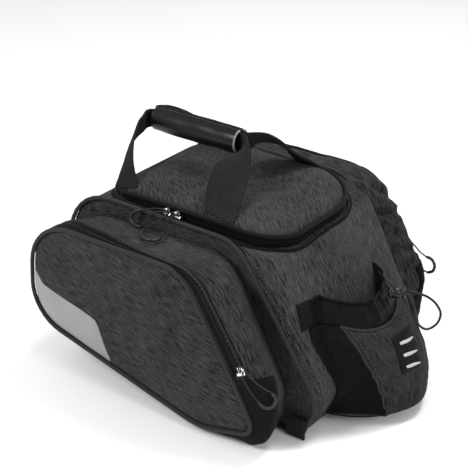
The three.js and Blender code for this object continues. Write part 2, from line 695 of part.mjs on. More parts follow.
// The band's upper edge from the pocket's front to its rear, moved up by lift.
function bandTop(lift) {
  const [front, low, rear] = pocketGusset;
  const rise = POCKET_BAND_HEIGHT;
  return [
    [front.x - 60, front.z + rise * 2.6 + lift],
    [front.x + 12, front.z + rise * 0.55 + lift],
    [low.x, low.z + rise + lift],
    [rear.x - 8, rear.z + rise * 1.35 + lift],
    [rear.x + 60, rear.z + rise * 2.2 + lift],
  ];
}

// The patch that covers the zipper's rear end, on the gusset.
function pocketCorner(side) {
  const head = ZIPPER_END_Z - GAP;
  const region = slab([[CORNER_FRONT_X, head], ...bandTop(GAP).slice(3), [FAR_OUT, head]],
    side * (POCKET_BACK + 2), side * FAR_OUT);
  return pocketSkin(side, TAPE_THICK).intersect(region)
    .subtract(prism(pocketPanel, PIPING_EDGE, 0, side * 2 * FAR_OUT));
}

// The dark band round the pocket's underside, between the trunk and the panel's piping.
function pocketBand(side) {
  const region = slab([...bandTop(0), [FAR_OUT, -FAR_OUT], [-FAR_OUT, -FAR_OUT]],
    side * (POCKET_BACK + 2), side * (POCKET_BACK + POCKET_DEPTH + 3));
  return pocketSkin(side, TAPE_THICK).intersect(region)
    .subtract(prism(pocketPanel, PIPING_EDGE, 0, side * 2 * FAR_OUT));
}

// The bare reflective patch at the panel's lower front corner.
function reflectivePatch(side) {
  const region = slab(REFLECTIVE.map(({ x, z }) => [POCKET_MIDDLE_X + x * POCKET_LENGTH, z * POCKET_HEIGHT]),
    side * (POCKET_BACK + POCKET_DEPTH * 0.9), side * FAR_OUT);
  return pocketSkin(side, TAPE_THICK / 2).intersect(region)
    .intersect(prism(pocketPanel, PIPING_OUT - PIPING_SEAT - 1, 0, side * FAR_OUT));
}

// Carry handle

function strapPoint(row, side) {
  const baseY = LID_MIDDLE_Y + side * LID_WIDTH / 2;
  const wrapY = WRAP_MIDDLE_Y + side * STRAP_SPREAD;
  const x = HANDLE_MIDDLE_X + row.along * HANDLE_SPAN;
  const baseZ = lidEdgeZ(x);
  return new THREE.Vector3(
    x,
    wrapY + (baseY - wrapY) * row.out,
    baseZ + row.rise * (LID_EDGE_Z + HANDLE_RISE - baseZ),
  );
}

function strap(side) {
  const middles = STRAP_ROWS.map((row) => strapPoint(row, side));
  const rings = STRAP_ROWS.map((row, i) => {
    const ahead = middles[Math.min(i + 1, middles.length - 1)].clone();
    const way = ahead.sub(middles[Math.max(i - 1, 0)]).normalize();
    const lean = THREE.MathUtils.degToRad(row.lean);
    const wide = new THREE.Vector3(Math.cos(lean), 0, Math.sin(lean));
    wide.addScaledVector(way, -wide.dot(way)).normalize();
    const thick = way.clone().cross(wide).multiplyScalar(STRAP_THICK / 2);
    wide.multiplyScalar(row.wide * STRAP_WIDTH / 2);
    return [[-1, -1], [1, -1], [1, 1], [-1, 1]].map(([w, t]) => middles[i].clone()
      .addScaledVector(wide, w).addScaledVector(thick, t).toArray());
  });
  return loft(rings).subtract(lidForm(GAP)).subtract(lidPiping(PIPING_SEAT));
}

function handleWrap() {
  const [halfWidth, halfHeight] = [WRAP_INNER_HALF_WIDTH, WRAP_INNER_HALF_HEIGHT].map((v) => v + WRAP_THICK / 2);
  const steps = 18;
  const sweep = 360 - (WRAP_SLOT_TO - WRAP_SLOT_FROM);
  const grid = [-0.5, 0.5].map((end) => Array.from({ length: steps + 1 }, (_, k) => {
    const turn = THREE.MathUtils.degToRad(WRAP_SLOT_TO + sweep * k / steps);
    return [
      WRAP_MIDDLE_X + end * WRAP_LENGTH,
      WRAP_MIDDLE_Y + Math.cos(turn) * halfWidth,
      LID_EDGE_Z + HANDLE_RISE + Math.sin(turn) * halfHeight,
    ];
  }));
  return thickSheet(grid, WRAP_THICK);
}

// Bottle pocket

const rearFootX = trunkCentre[1].x;

function hemZ(y) {
  const share = Math.min(1, Math.abs(y - BOTTLE_MIDDLE_Y) / HEM_REACH);
  return BOTTLE_FLOOR_Z + BOTTLE_HEIGHT + HEM_RISE * share * share;
}

// One ring of the bottle pocket in plan: a round front, and two corners inside the trunk.
function bottlePlan(row, grow) {
  const middle = rearFootX - row.back * BOTTLE_DEPTH;
  const reach = row.reach * BOTTLE_DEPTH + grow;
  const half = row.half * BOTTLE_HALF_WIDTH + grow;
  const middleY = BOTTLE_MIDDLE_Y - row.near * BOTTLE_HALF_WIDTH;
  const steps = 12;
  const ring = [];
  for (let k = 0; k <= steps; k += 1) {
    const turn = -Math.PI / 2 + Math.PI * k / steps;
    const [c, n] = [Math.max(0, Math.cos(turn)), Math.sin(turn)];
    ring.push([
      middle + reach * c ** (2 / row.round),
      middleY + half * Math.sign(n) * Math.abs(n) ** (2 / row.round),
    ]);
  }
  const inside = middle - BOTTLE_DEPTH / 2;
  return [...ring, [inside, middleY + half], [inside, middleY - half]];
}

function bottleForm(grow, lift, top) {
  const rows = BOTTLE_ROWS.map((row) => bottlePlan(row, grow).map(([x, y]) => {
    const z = BOTTLE_FLOOR_Z + row.height * (hemZ(y) - BOTTLE_FLOOR_Z);
    return [x, y, z + (row.height < 1 ? lift * (1 - row.height) : top)];
  }));
  return loft(rows);
}

function bottleCup() {
  return bottleForm(0, 0, 0).subtract(bottleForm(-CLOTH_WALL, CLOTH_WALL, 2)).subtract(trunkSkin);
}

// The plane of the seam between net and front panel on one side; away moves it outwards.
function seamPlane(side, away) {
  const normal = new THREE.Vector3(0, -side, SEAM_LEAN).normalize();
  const foot = new THREE.Vector3(0, BOTTLE_MIDDLE_Y + side * SEAM_FOOT_Y, BOTTLE_FLOOR_Z);
  return { normal, offset: normal.dot(foot) - away };
}

function bottleFront(cup) {
  let front = cup;
  for (const side of [-1, 1]) {
    const { normal, offset } = seamPlane(side, -GAP / 2);
    front = front.trimByPlane(normal.toArray(), offset);
  }
  return front;
}

// Where the trunk's rear is at a height, in the middle of the bag.
function trunkRearX(z) {
  const ring = roundedOutline(trunkCentre, 0);
  let reach = -Infinity;
  ring.forEach(([x, height], i) => {
    const [nextX, nextHeight] = ring[(i + 1) % ring.length];
    if ((height - z) * (nextHeight - z) > 0 || height === nextHeight) return;
    reach = Math.max(reach, x + (nextX - x) * (z - height) / (nextHeight - height));
  });
  return reach;
}

function rowAt(height) {
  const upper = Math.max(1, BOTTLE_ROWS.findIndex((row) => row.height >= height));
  const [low, high] = [BOTTLE_ROWS[upper - 1], BOTTLE_ROWS[upper]];
  const share = (height - low.height) / (high.height - low.height);
  const mix = (key) => low[key] + (high[key] - low[key]) * share;
  const keys = ['back', 'reach', 'half', 'near', 'round'];
  return Object.fromEntries(keys.map((key) => [key, mix(key)]));
}

// The net's holes: rows up the wall, each with holes a pitch apart from the trunk to the seam.
function netHoles(side) {
  const holes = [];
  const { normal, offset } = seamPlane(side, 0);
  for (let z = BOTTLE_FLOOR_Z + NET_PITCH * 1.4; z < BOTTLE_FLOOR_Z + BOTTLE_HEIGHT; z += NET_PITCH) {
    const ring = bottlePlan(rowAt((z - BOTTLE_FLOOR_Z) / (hemZ(side * HEM_REACH) - BOTTLE_FLOOR_Z)), -CLOTH_WALL / 2);
    const front = ring.slice(0, -2);
    const walk = side < 0 ? front : front.reverse();
    let left = NET_PITCH;
    for (let i = 0; i + 1 < walk.length; i += 1) {
      const [from, to] = [walk[i], walk[i + 1]];
      const length = Math.hypot(to[0] - from[0], to[1] - from[1]);
      while (left < length) {
        const share = left / length;
        const [x, y] = [from[0] + (to[0] - from[0]) * share, from[1] + (to[1] - from[1]) * share];
        const clearOfSeam = offset - (normal.y * y + normal.z * z) > NET_HOLE * 0.9;
        if (clearOfSeam && x > trunkRearX(z) + NET_HOLE) {
          const geometry = new THREE.BoxGeometry(NET_HOLE, CLOTH_WALL * 5, NET_HOLE);
          geometry.rotateZ(Math.atan2(to[1] - from[1], to[0] - from[0]));
          geometry.translate(x, y, z);
          holes.push(solid(geometry));
        }
        left += NET_PITCH;
      }
      left -= length;
    }
  }
  return wasm.Manifold.union(holes);
}

function bottleNet(cup, side) {
  const { normal, offset } = seamPlane(side, GAP / 2);
  return cup.trimByPlane(normal.negate().toArray(), -offset).subtract(netHoles(side));
}

function bottleCollar() {
  const form = (grow, low, high) => loft(COLLAR_ROWS.map((row) => bottlePlan(row, grow).map(([x, y]) => {
    const end = row.rise === 0 ? low : (row.rise === 1 ? high : 0);
    return [x, y, hemZ(y) + 2 * GAP + row.rise * COLLAR_HEIGHT + end];
  })));
  return form(0, 0, 0).subtract(form(-COLLAR_THICK, -1, 1)).subtract(trunkSkin);
}

// The rubber patch, with its slits cut through.
function slitPatch() {
  const at = ({ y, z }) => [BOTTLE_MIDDLE_Y + y * BOTTLE_HALF_WIDTH, BOTTLE_FLOOR_Z + z * BOTTLE_HEIGHT];
  const region = sideways(SLIT_PATCH.map(at));
  const skin = bottleForm(SKIN_GAP + TAPE_THICK, 0, 0).subtract(bottleForm(SKIN_GAP, 0, 1)).intersect(region);
  const slits = SLITS.map(({ from, to, z }) => {
    const [y0, z0] = at({ y: from, z });
    const [y1, z1] = at({ y: to, z: z - 0.06 });
    return sideways([[y0, z0 - 1.5], [y1, z1 - 1.5], [y1, z1 + 1.5], [y0, z0 + 1.5]]);
  });
  return skin.subtract(wasm.Manifold.union(slits));
}

// A cutting block behind the bag with the given outline across it.
function sideways(outline) {
  return loft([rearFootX, FAR_OUT].map((x) => outline.map(([y, z]) => [x, y, z])));
}

// The end of the collar's drawstring channel, sewn to the trunk's rear.
function collarTab() {
  const [low, high] = [[100, -88, 114], [130, -70, 140]];
  return trunkForm(SKIN_GAP + TAPE_THICK).subtract(trunkForm(SKIN_GAP)).intersect(box(low, high));
}

// Sliders, cords and straps

// Moves a body built round the origin to a place, with its x and z axes turned to along and out.
function placed(body, origin, along, out) {
  const z = new THREE.Vector3(...out).normalize();
  const y = z.clone().cross(new THREE.Vector3(...along)).normalize();
  const matrix = new THREE.Matrix4().makeBasis(y.clone().cross(z), y, z).setPosition(...origin);
  return body.transform(matrix.elements);
}

// A slider's plate lies a gap above the tape, and the arch on it leaves an eye for the cord.
function slider(origin, along, out) {
  const [half, wide] = [SLIDER_LENGTH / 2, SLIDER_WIDTH / 2];
  const top = GAP + SLIDER_PLATE;
  const corners = [[-1, -0.6], [-0.7, -1], [1, -1], [1, 1], [-0.7, 1], [-1, 0.6]];
  const plate = loft([GAP, top].map((z) => corners.map(([x, y]) => [x * half, y * wide, z])));
  const arch = box([-EYE_LENGTH, -wide * 0.85, top - 1], [0, wide * 0.85, top + EYE_HEIGHT]);
  const hole = box([-EYE_LENGTH - 1, -EYE_HOLE / 2, top + 0.3], [1, EYE_HOLE / 2, top + EYE_HEIGHT - 1]);
  return placed(plate.add(arch.subtract(hole)), origin, along, out);
}

// The place of a pocket's slider, on the rear slope of its zipper's tape.
function pocketSliderPlace(side, { height, stage }) {
  const z = height * POCKET_HEIGHT;
  const lift = SKIN_GAP + TAPE_THICK;
  const ring = roundedOutline(pocketCorners(stage), lift);
  const crossings = ring.map(([x, low], i) => {
    const [ahead, high] = ring[(i + 1) % ring.length];
    if ((z - low) * (z - high) > 0 || low === high) return -Infinity;
    return x + ((ahead - x) * (z - low)) / (high - low);
  });
  const after = POCKET_ROWS.find((row) => row.stage > stage);
  const before = POCKET_ROWS[POCKET_ROWS.indexOf(after) - 1];
  const share = (stage - before.stage) / (after.stage - before.stage);
  const depth = before.depth + share * (after.depth - before.depth);
  return [Math.max(...crossings), pocketY(side, depth, lift), z];
}

function cordLock() {
  const barrel = wasm.Manifold.cylinder(LOCK_LENGTH, LOCK_RADIUS, LOCK_RADIUS, 16, true);
  const holes = [-1, 1].map((end) => wasm.Manifold
    .cylinder(LOCK_LENGTH + 2, CORD_HOLE, CORD_HOLE, 8, true).translate([0, end * 2.75, 0]));
  return placed(barrel.subtract(wasm.Manifold.union(holes)), LOCK_MIDDLE, [0, 0, 1], LOCK_AXIS);
}

// A folded webbing strap that stands at the trunk's rear corner, for the carrier's rail.
function rackStrap(side) {
  const [lap, top] = [RACK_STRAP_THICK + GAP, RACK_STRAP_HEIGHT];
  const path = [[0, 0.3], [0, top - lap], [lap * 0.3, top - 0.4], [lap * 0.9, top - 0.4],
    [lap * 1.2, top - lap], [lap * 1.2, 6]];
  const start = TRUNK_HALF + 2 * PIPING_SEAT + 1.2;
  const rear = trunkSide[1].x + RACK_STRAP_WIDTH / 3;
  return thickSheet(path.map(([y, z]) => [rear - RACK_STRAP_WIDTH, rear]
    .map((x) => [x, side * (start + y), z])), RACK_STRAP_THICK);
}

const parts = new THREE.Group();

function add(name, body, finish) {
  const material = new THREE.MeshStandardMaterial(COLOURS[finish]);
  const geometry = body instanceof THREE.BufferGeometry ? body : geometryFrom(body);
  const mesh = new THREE.Mesh(geometry, material);
  mesh.name = name;
  parts.add(mesh);
}

add('base_panel', basePanel(), 'twill');
add('trunk_shell', trunkShell(), 'heather');
add('lid', lid(), 'heather');
add('lid_piping', lidPiping(), 'piping');
add('lid_zipper', lidZipper(), 'tape');
const cup = bottleCup();
for (const [label, side] of [['near', -1], ['far', 1]]) {
  add(`seam_piping_${label}`, seamPiping(side), 'piping');
  add(`pocket_${label}`, pocketShell(side), 'panel');
  add(`pocket_piping_${label}`, pocketPiping(side), 'piping');
  add(`pocket_zipper_${label}`, pocketZipper(side), 'tape');
  add(`pocket_corner_${label}`, pocketCorner(side), 'twill');
  add(`pocket_band_${label}`, pocketBand(side), 'twill');
  add(`reflective_${label}`, reflectivePatch(side), 'reflective');
  add(`strap_${label}`, strap(side), 'webbing');
  add(`bottle_net_${label}`, bottleNet(cup, side), 'net');
  add(`rack_strap_${label}`, rackStrap(side), 'webbing');
  const place = pocketSliderPlace(side, POCKET_SLIDERS[label]);
  add(`slider_pocket_${label}`, slider(place, [-0.5, side * 0.1, 0.86], [0.1, side, 0.06]), 'metal');
}
add('handle_wrap', handleWrap(), 'leather');
add('bottle_front', bottleFront(cup), 'heather');
add('bottle_collar', bottleCollar(), 'tape');
add('slit_patch', slitPatch(), 'rubber');
add('collar_tab', collarTab(), 'twill');
add('cord_lock', cordLock(), 'rubber');
add('shock_cord', cordGeometry(SHOCK_CORD, SHOCK_CORD_RADIUS, SHOCK_STEPS), 'cord');
LID_SLIDERS_X.forEach((x, i) => {
  const tapeZ = TRUNK_HEIGHT + SKIN_GAP + TAPE_THICK;
  const place = [x, LID_MIDDLE_Y - LID_WIDTH / 2 - LID_SLIDER_OUT, tapeZ];
  add(`slider_lid_${i === 0 ? 'front' : 'rear'}`, slider(place, [1, 0, 0], [0, 0, 1]), 'metal');
});
for (const { label, cord, tube } of PULLS) {
  add(`pull_cord_${label}`, cordGeometry(cord, PULL_CORD_RADIUS, PULL_STEPS), 'cord');
  add(`pull_tube_${label}`, cordGeometry(tube, PULL_TUBE_RADIUS, TUBE_STEPS), 'cord');
}

export default parts;
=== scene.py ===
"""Looks of a soft bag for a bicycle's rear carrier, built round its solids.

Lengths in the tables and helpers are in millimetres, in the frame of the solids: X towards the
rear, Y towards the far side, Z up. They turn into metres when a mesh is made.
"""

import math

import bmesh
import bpy
from mathutils import Matrix, Vector, noise
from mathutils.bvhtree import BVHTree


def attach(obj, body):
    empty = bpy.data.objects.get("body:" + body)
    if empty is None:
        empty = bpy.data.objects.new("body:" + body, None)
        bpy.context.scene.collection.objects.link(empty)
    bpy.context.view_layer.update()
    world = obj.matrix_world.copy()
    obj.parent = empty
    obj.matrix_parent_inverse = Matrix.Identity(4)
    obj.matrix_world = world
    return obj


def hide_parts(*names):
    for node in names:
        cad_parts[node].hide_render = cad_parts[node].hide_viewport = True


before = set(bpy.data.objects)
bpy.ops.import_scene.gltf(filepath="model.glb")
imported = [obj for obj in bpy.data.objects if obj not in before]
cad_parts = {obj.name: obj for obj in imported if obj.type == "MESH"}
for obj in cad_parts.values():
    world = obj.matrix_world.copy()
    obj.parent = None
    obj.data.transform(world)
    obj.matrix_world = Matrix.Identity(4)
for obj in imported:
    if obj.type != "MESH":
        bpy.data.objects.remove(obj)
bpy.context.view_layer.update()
MM = 0.001
SIDES = {"near": -1, "far": 1}

# Sizes, as in the solids
TRUNK_LENGTH, TRUNK_HEIGHT, TRUNK_HALF, TRUNK_MIDDLE_X, TRUNK_FLOOR = 324, 195, 99, -12, 2.85
LID_LENGTH, LID_WIDTH, LID_MIDDLE = 216, 166, (-21.5, -3)
LID_CORNERS = {"front": 32, "rear_near": 42, "rear_far": 62}
LID_EDGE, LID_CROWN, LID_DIP = 202, 15, 6
POCKET_LENGTH, POCKET_HEIGHT, POCKET_DEPTH, POCKET_MIDDLE_X = 320, 190, 57, -26
POCKET_BACK = 99.35
PIPING_RADIUS, PIPING_SEAT = 2.3, 2.65
PIPING_OUT = 0.66 * PIPING_SEAT
HANDLE_SPAN, HANDLE_MIDDLE_X, HANDLE_RISE = 131, -50.5, 54
STRAP_WIDTH, STRAP_THICK, STRAP_SPREAD = 38, 2, 2.5
WRAP_LENGTH, WRAP_MIDDLE, WRAP_INNER = 110, (-70, -8), (11.5, 12)
WRAP_THICK, WRAP_SLOT = 2.2, (62, 96)
BOTTLE_DEPTH, BOTTLE_HALF, BOTTLE_HEIGHT, BOTTLE_FLOOR, BOTTLE_MIDDLE_Y = 66, 80, 84, 13, 6
HEM_RISE, HEM_REACH, SEAM_FOOT, SEAM_LEAN, COLLAR_HEIGHT = 17, 64, 40, 0.215, 25
NET_THREAD = 1.3
ZIPPER_FRONT_Z, ZIPPER_BREAK_X, ZIPPER_END_Z = 128, -60, 82
BAND_FRONT_TOP, BAND_TOP = 62, 36
LID_RUNS = [30, 18, 28, 20]

# Seams: distances of stitches, coil and binding from a seam, and the sizes of one stitch and tooth
TRUNK_STITCHES, POCKET_SEAM_STITCHES = (5.5, 9.5), (2.5, 6.5)
POCKET_STITCHES, POCKET_COIL, POCKET_BINDING = ((17.4, 2.1), (4.6, 2.0)), 11.3, 19.4
LID_COIL, LID_STITCHES = (3.6, 2.3), (7.6, 1.8)
STITCH_PITCH, STITCH_SIZE, STITCH_LIFT = 4.3, (1.5, 0.42, 0.42), 0.12
TOOTH_PITCH, TOOTH_SIZE = 1.7, (0.55, 1.7, 0.5)
# Sections of the zipper tapes: distance from the seam, and height over the cloth
POCKET_TAPE = {
    2.0: 0.7, 3.0: 1.9, 6.0: 2.0, 10.4: 2.0, 11.0: 1.1, 11.6: 1.1, 12.2: 2.0, 16.0: 2.1, 19.6: 2.0, 20.6: 0.4,
}
LID_TAPE = [(0, 0.8), (1.2, 2.0), (3.0, 2.1), (4.0, 1.7), (6.0, 1.8), (7.8, 1.7), (8.8, 1.5), (9.2, 0.3)]
PATCH_DEPTHS = [2, 3, 8, 14, 20, 26, 32, 38, 44, 50]

# Camera: turn and tilt in degrees, and its aim, shifted across and up
CAMERA_TURN, CAMERA_TILT, CAMERA_DISTANCE = 36.93, 26.85, 1408.18
CAMERA_AIM, CAMERA_SHIFT, CAMERA_LENS, CAMERA_SENSOR = 120, (-23.44, 26.39), 100, 36
# Soft lights: name, place and aim in metres, width, power
LIGHTS = [
    ("key_light", (-0.5, -1.3, 1.3), (0, 0, 0.12), 0.6, 20),
    ("top_light", (0.3, 0.5, 1.6), (0, 0, 0.15), 0.5, 16),
    ("rear_light", (1.5, -0.4, 0.9), (0.1, 0, 0.1), 0.5, 8),
]
SKY, FLOOR_REACH = 0.7, 6
UP, REAR = Vector((0, 0, 1)), Vector((1, 0, 0))
FAR_OFF = 400

# Bottle pocket's near edge on the trunk, the collar's gathers, the slits' bars and the collar's tab
SEWN_REACH, SEWN_FOOT, SEWN_RISE, SEWN_LIFT = 15, 50, 60, 1.2
COLLAR_GATHER, COLLAR_SAG, CHANNEL_RADIUS = 0.9, 2.6, 1.7
BAR_WIDTH, BAR_FALL, BAR_LIFT = 1.9, 0.06, 1.75
TAB_CORNER, TAB_SIZE, TAB_LEAN = (-88, 114), (18, 26), 0.12
RACK_STRAP_WIDTH = 21

# Outlines as corners: along the length from the middle, height, and radius as a share of height
TRUNK_SIDE = [
    (-0.494, 0.0, 0.09), (0.444, 0.0, 0.05), (0.498, 0.225, 0.17),
    (0.3, 0.72, 0.2), (0.185, 1.0, 0.2), (-0.5, 1.0, 0.3),
]
TRUNK_CENTRE = [
    (-0.505, 0.0, 0.09), (0.45, 0.0, 0.05), (0.512, 0.225, 0.17),
    (0.382, 0.77, 0.2), (0.327, 0.955, 0.08), (-0.508, 1.0, 0.3),
]
TRUNK_ROWS = [(1.0, 0.0), (0.94, 0.5), (0.8, 0.85), (0.0, 1.0)]
POCKET_SEAM = [
    (-0.43, 0.33, 0.16), (0.2, 0.06, 0.3), (0.425, 0.06, 0.1),
    (0.43, 0.26, 0.16), (0.215, 0.95, 0.22), (-0.42, 0.93, 0.28),
]
POCKET_GUSSET = [
    (-0.5, 0.3, 0.18), (0.206, 0.01, 0.32), (0.463, 0.022, 0.13),
    (0.495, 0.43, 0.17), (0.29, 0.99, 0.24), (-0.468, 0.965, 0.36),
]
POCKET_PANEL = [
    (-0.488, 0.337, 0.24), (0.222, 0.052, 0.37), (0.436, 0.147, 0.06),
    (0.357, 0.4, 0.1), (0.158, 0.942, 0.21), (-0.464, 0.93, 0.29),
]
# Sections of the gusset: depth, and stage from the seam's outline (0) to the panel's (2)
GUSSET_ROWS = [(0.0, 0.0), (0.6, 0.7), (0.84, 1.0), (0.94, 1.3), (1.0, 2.0)]
# Sections of the panel inside its piping: depth and inset, in shares of the pocket's depth
PANEL_ROWS = [(1.0, 0.0), (1.05, 0.08), (1.085, 0.2), (1.11, 0.38), (1.12, 0.55)]
PANEL_STEPS = (0.1, 0.2, 0.3, 0.4, 0.5, 0.6, 0.7, 0.8, 0.9, 0.97)
PATCH_EDGE = [
    (-0.53, 0.69), (-0.48, 0.64), (-0.425, 0.563), (-0.215, 0.478), (-0.192, 0.465),
    (-0.178, 0.43), (-0.144, 0.24), (-0.146, 0.16),
]
LID_ROWS = [(0.0, 0.0), (0.05, 0.36), (0.19, 0.7), (0.42, 0.92), (0.7, 1.0)]
# Sections of a strap: along, out, rise, width and lean in degrees
STRAP_ROWS = [
    (-0.455, 0.94, 0.03, 0.8, 0), (-0.47, 0.9, 0.16, 0.72, 8), (-0.53, 0.74, 0.46, 0.56, 46),
    (-0.6, 0.5, 0.74, 0.52, 64), (-0.63, 0.22, 0.93, 0.54, 80), (-0.58, 0.0, 1.0, 0.54, 88),
    (0.0, 0.0, 1.0, 0.54, 90), (0.3, 0.0, 1.0, 0.54, 88), (0.37, 0.24, 0.95, 0.8, 30),
    (0.42, 0.5, 0.76, 1.02, -14), (0.46, 0.76, 0.44, 1.04, -16), (0.5, 0.93, 0.14, 0.98, -4),
    (0.5, 0.985, 0.02, 0.95, 0),
]
# Sections of the bottle pocket and of its collar: height, back, reach, half width, near, round
BOTTLE_ROWS = [
    (0.0, 0.0, 1.06, 0.9, 0.0, 1.75), (0.06, 0.0, 1.12, 0.96, 0.0, 1.75),
    (0.4, 0.06, 1.09, 0.96, 0.02, 1.9), (0.79, 0.15, 0.9, 0.88, 0.07, 2.0),
    (1.0, 0.2, 0.7, 0.79, 0.11, 2.0),
]
COLLAR_ROWS = [
    (0.0, 0.2, 0.695, 0.785, 0.11, 2.0), (0.45, 0.25, 0.66, 0.74, 0.1, 2.0),
    (1.0, 0.33, 0.59, 0.66, 0.09, 2.0),
]
SLIT_PATCH = [(-0.26, 0.5), (0.2, 0.46), (0.37, 0.84), (-0.22, 0.91)]
SLITS = [(-0.16, 0.13, 0.56), (-0.13, 0.18, 0.68), (-0.1, 0.24, 0.81)]

# Routes of the cords, point for point as in the solids
PULLS = {
    "lid_front": {
        "cord": [
            (-67.7, -106.4, 199.7), (-57, -101.6, 202.4), (-51, -96, 201.8), (-47.6, -94.1, 201.2),
            (-44.6, -93.9, 201.1), (-41.8, -94.4, 201.3), (-40, -97.4, 201.9), (-42, -100.4, 202.3),
            (-48, -102, 202), (-54.5, -104.6, 198.8), (-60.4, -108, 191), (-64.2, -112.4, 184),
        ],
        "tube": [
            (-68.4, -106.6, 199.4), (-75.6, -107.2, 196), (-80.6, -108.4, 190.4),
            (-79.4, -110, 185.4), (-73.4, -111.4, 183.2), (-65.4, -112.6, 183.4),
        ],
    },
    "lid_rear": {
        "cord": [
            (-57.8, -112.8, 184.4), (-50.6, -110.8, 189.4), (-43.6, -107.6, 195),
            (-39.4, -103.8, 200), (-37.4, -99.2, 202.2), (-35, -94.6, 201.3), (-31.6, -93.9, 201.1),
            (-28.6, -94.4, 201.3), (-26.6, -97.4, 201.9), (-28.4, -100.6, 202.4),
            (-32.2, -104.4, 200.2), (-34.2, -107.4, 193.4), (-34.6, -111, 186.4),
            (-33.1, -116.7, 184.3),
        ],
        "tube": [
            (-58.2, -114.4, 183.8), (-54, -122, 184.6), (-47, -130.5, 186), (-38, -135.2, 187),
            (-30.6, -132, 186.6), (-29.6, -124.5, 185.2), (-32.8, -117.4, 184.2),
        ],
    },
    "pocket_near": {
        "cord": [
            (118.2, -157.7, 68.1), (111, -158.8, 75.4), (105, -159.6, 83.5), (100.7, -160.1, 90.4),
            (98.1, -159.9, 94.7), (96.4, -160.3, 98.4), (98.4, -160.6, 101.8), (102.4, -160.2, 101),
            (107, -159.8, 96.4), (114, -158.6, 90.4), (122, -156.4, 84.8), (130.5, -153, 80.5),
        ],
        "tube": [
            (118.7, -157.6, 67.6), (123.3, -156.2, 63), (129, -154, 62.6), (133.4, -151.9, 67.6),
            (134.4, -151.2, 74.6), (131, -152.8, 80),
        ],
    },
    "pocket_far": {
        "cord": [
            (124.9, 157.5, 75.5), (116.6, 157.8, 78.8), (109, 158.6, 84.6), (101.5, 159.5, 91.2),
            (96.9, 160.1, 97.2), (94.4, 160.1, 101.2), (92.8, 160.4, 104.8), (94.6, 160.8, 108.2),
            (98.6, 160.4, 107.6), (106.6, 159.2, 103.4), (115, 158, 98), (123.1, 157.2, 95),
        ],
        "tube": [
            (123.8, 157.2, 94.8), (130.5, 157, 94), (134.9, 157, 87.6), (133.2, 157, 79.6),
            (126.2, 157.4, 75.6),
        ],
    },
}
SHOCK_CORD = [
    (153.2, 11.3, 120.4), (154.2, 12.1, 124.2), (157.2, 14.3, 126.1), (163.9, 19.4, 126),
    (170.8, 24.5, 125.7), (175.5, 28, 125.3), (182, 34, 122.8), (189.6, 41, 117.8),
    (196, 47.5, 109), (200, 51.5, 97), (198, 48.8, 85.6), (191.4, 40.6, 80.4), (185.8, 32, 88),
    (182.8, 27, 103), (181.6, 25.6, 114.5), (179.2, 23.9, 122), (174.1, 20.1, 125.6),
    (167.2, 15, 126), (160.5, 9.9, 126.1), (157.5, 7.7, 124.2), (156.5, 6.9, 120.4),
]
LOCK_MIDDLE, LOCK_AXIS = (165.6, 17.2, 126), (0.8, 0.6, -0.04)
LID_SLIDERS = {"lid_front": (-43.2, -93.9), "lid_rear": (-30.2, -93.9)}
POCKET_SLIDERS = {"near": (97.7, -155.9, 94.5), "far": (94, 156.1, 101)}

# Folds in the cloth: the line of a groove, its depth and its width
GUSSET_FOLDS = [
    ([(59, -128, 181), (68, -134, 173), (75.5, -143, 167), (79, -149.6, 156), (78.4, -152, 144)], 8.0, 3.2),
    ([(72, -114, 155), (76, -124, 148), (82, -136, 146), (88, -148, 143), (87, -151, 134)], 8.0, 3.2),
    ([(104, -124, 112), (109, -138, 108), (112, -149, 103), (109, -152, 95), (106, -154, 86)], 5.0, 3.4),
    ([(40, -118, 185), (50, -138, 181), (60, -150, 174)], 2.2, 6.0),
    ([(92, -116, 130), (100, -134, 125), (104, -148, 118)], 2.2, 5.0),
    ([(-40, -116, 186), (-28, -136, 183), (-18, -150, 178)], 2.0, 8.0),
    ([(-120, -120, 178), (-106, -138, 180), (-90, -150, 177)], 2.2, 7.0),
    ([(8, -116, 187), (16, -136, 184), (28, -150, 178)], 1.8, 6.0),
]
FRONT_FOLDS = [
    ([(166, -48, 84), (180, -34, 66), (188, -14, 60)], 3.2, 4.6),
    ([(172, -46, 58), (186, -34, 44), (192, -10, 36)], 2.6, 4.6),
    ([(158, -34, 102), (172, -26, 86), (178, -18, 72)], 2.4, 5.5),
    ([(176, 40, 60), (188, 18, 44), (192, -4, 34)], 2.0, 6.0),
    ([(160, 50, 84), (172, 44, 66), (180, 36, 50)], 2.0, 5.5),
]
TRUNK_FOLDS = [
    ([(118, -70, 120), (104, -48, 148), (92, -30, 170)], 2.0, 8.0),
    ([(124, 30, 128), (112, 50, 140), (102, 70, 150)], 1.8, 9.0),
    ([(84, -86, 150), (98, -74, 136), (110, -60, 120)], 2.0, 7.0),
]
LID_FOLDS = [
    ([(-30, -84, 206), (-20, -68, 212), (-10, -50, 216)], 2.4, 6.0),
    ([(-50, -84, 206), (-36, -60, 214), (-30, -40, 217)], 1.8, 7.0),
    ([(-96, -60, 212), (-78, -46, 216), (-60, -34, 218)], 1.8, 8.0),
    ([(20, -84, 205), (28, -70, 211), (34, -56, 214)], 1.8, 7.0),
    ([(50, 20, 214), (64, 30, 211), (78, 40, 206)], 1.4, 8.0),
]


# Camera, lights and floor


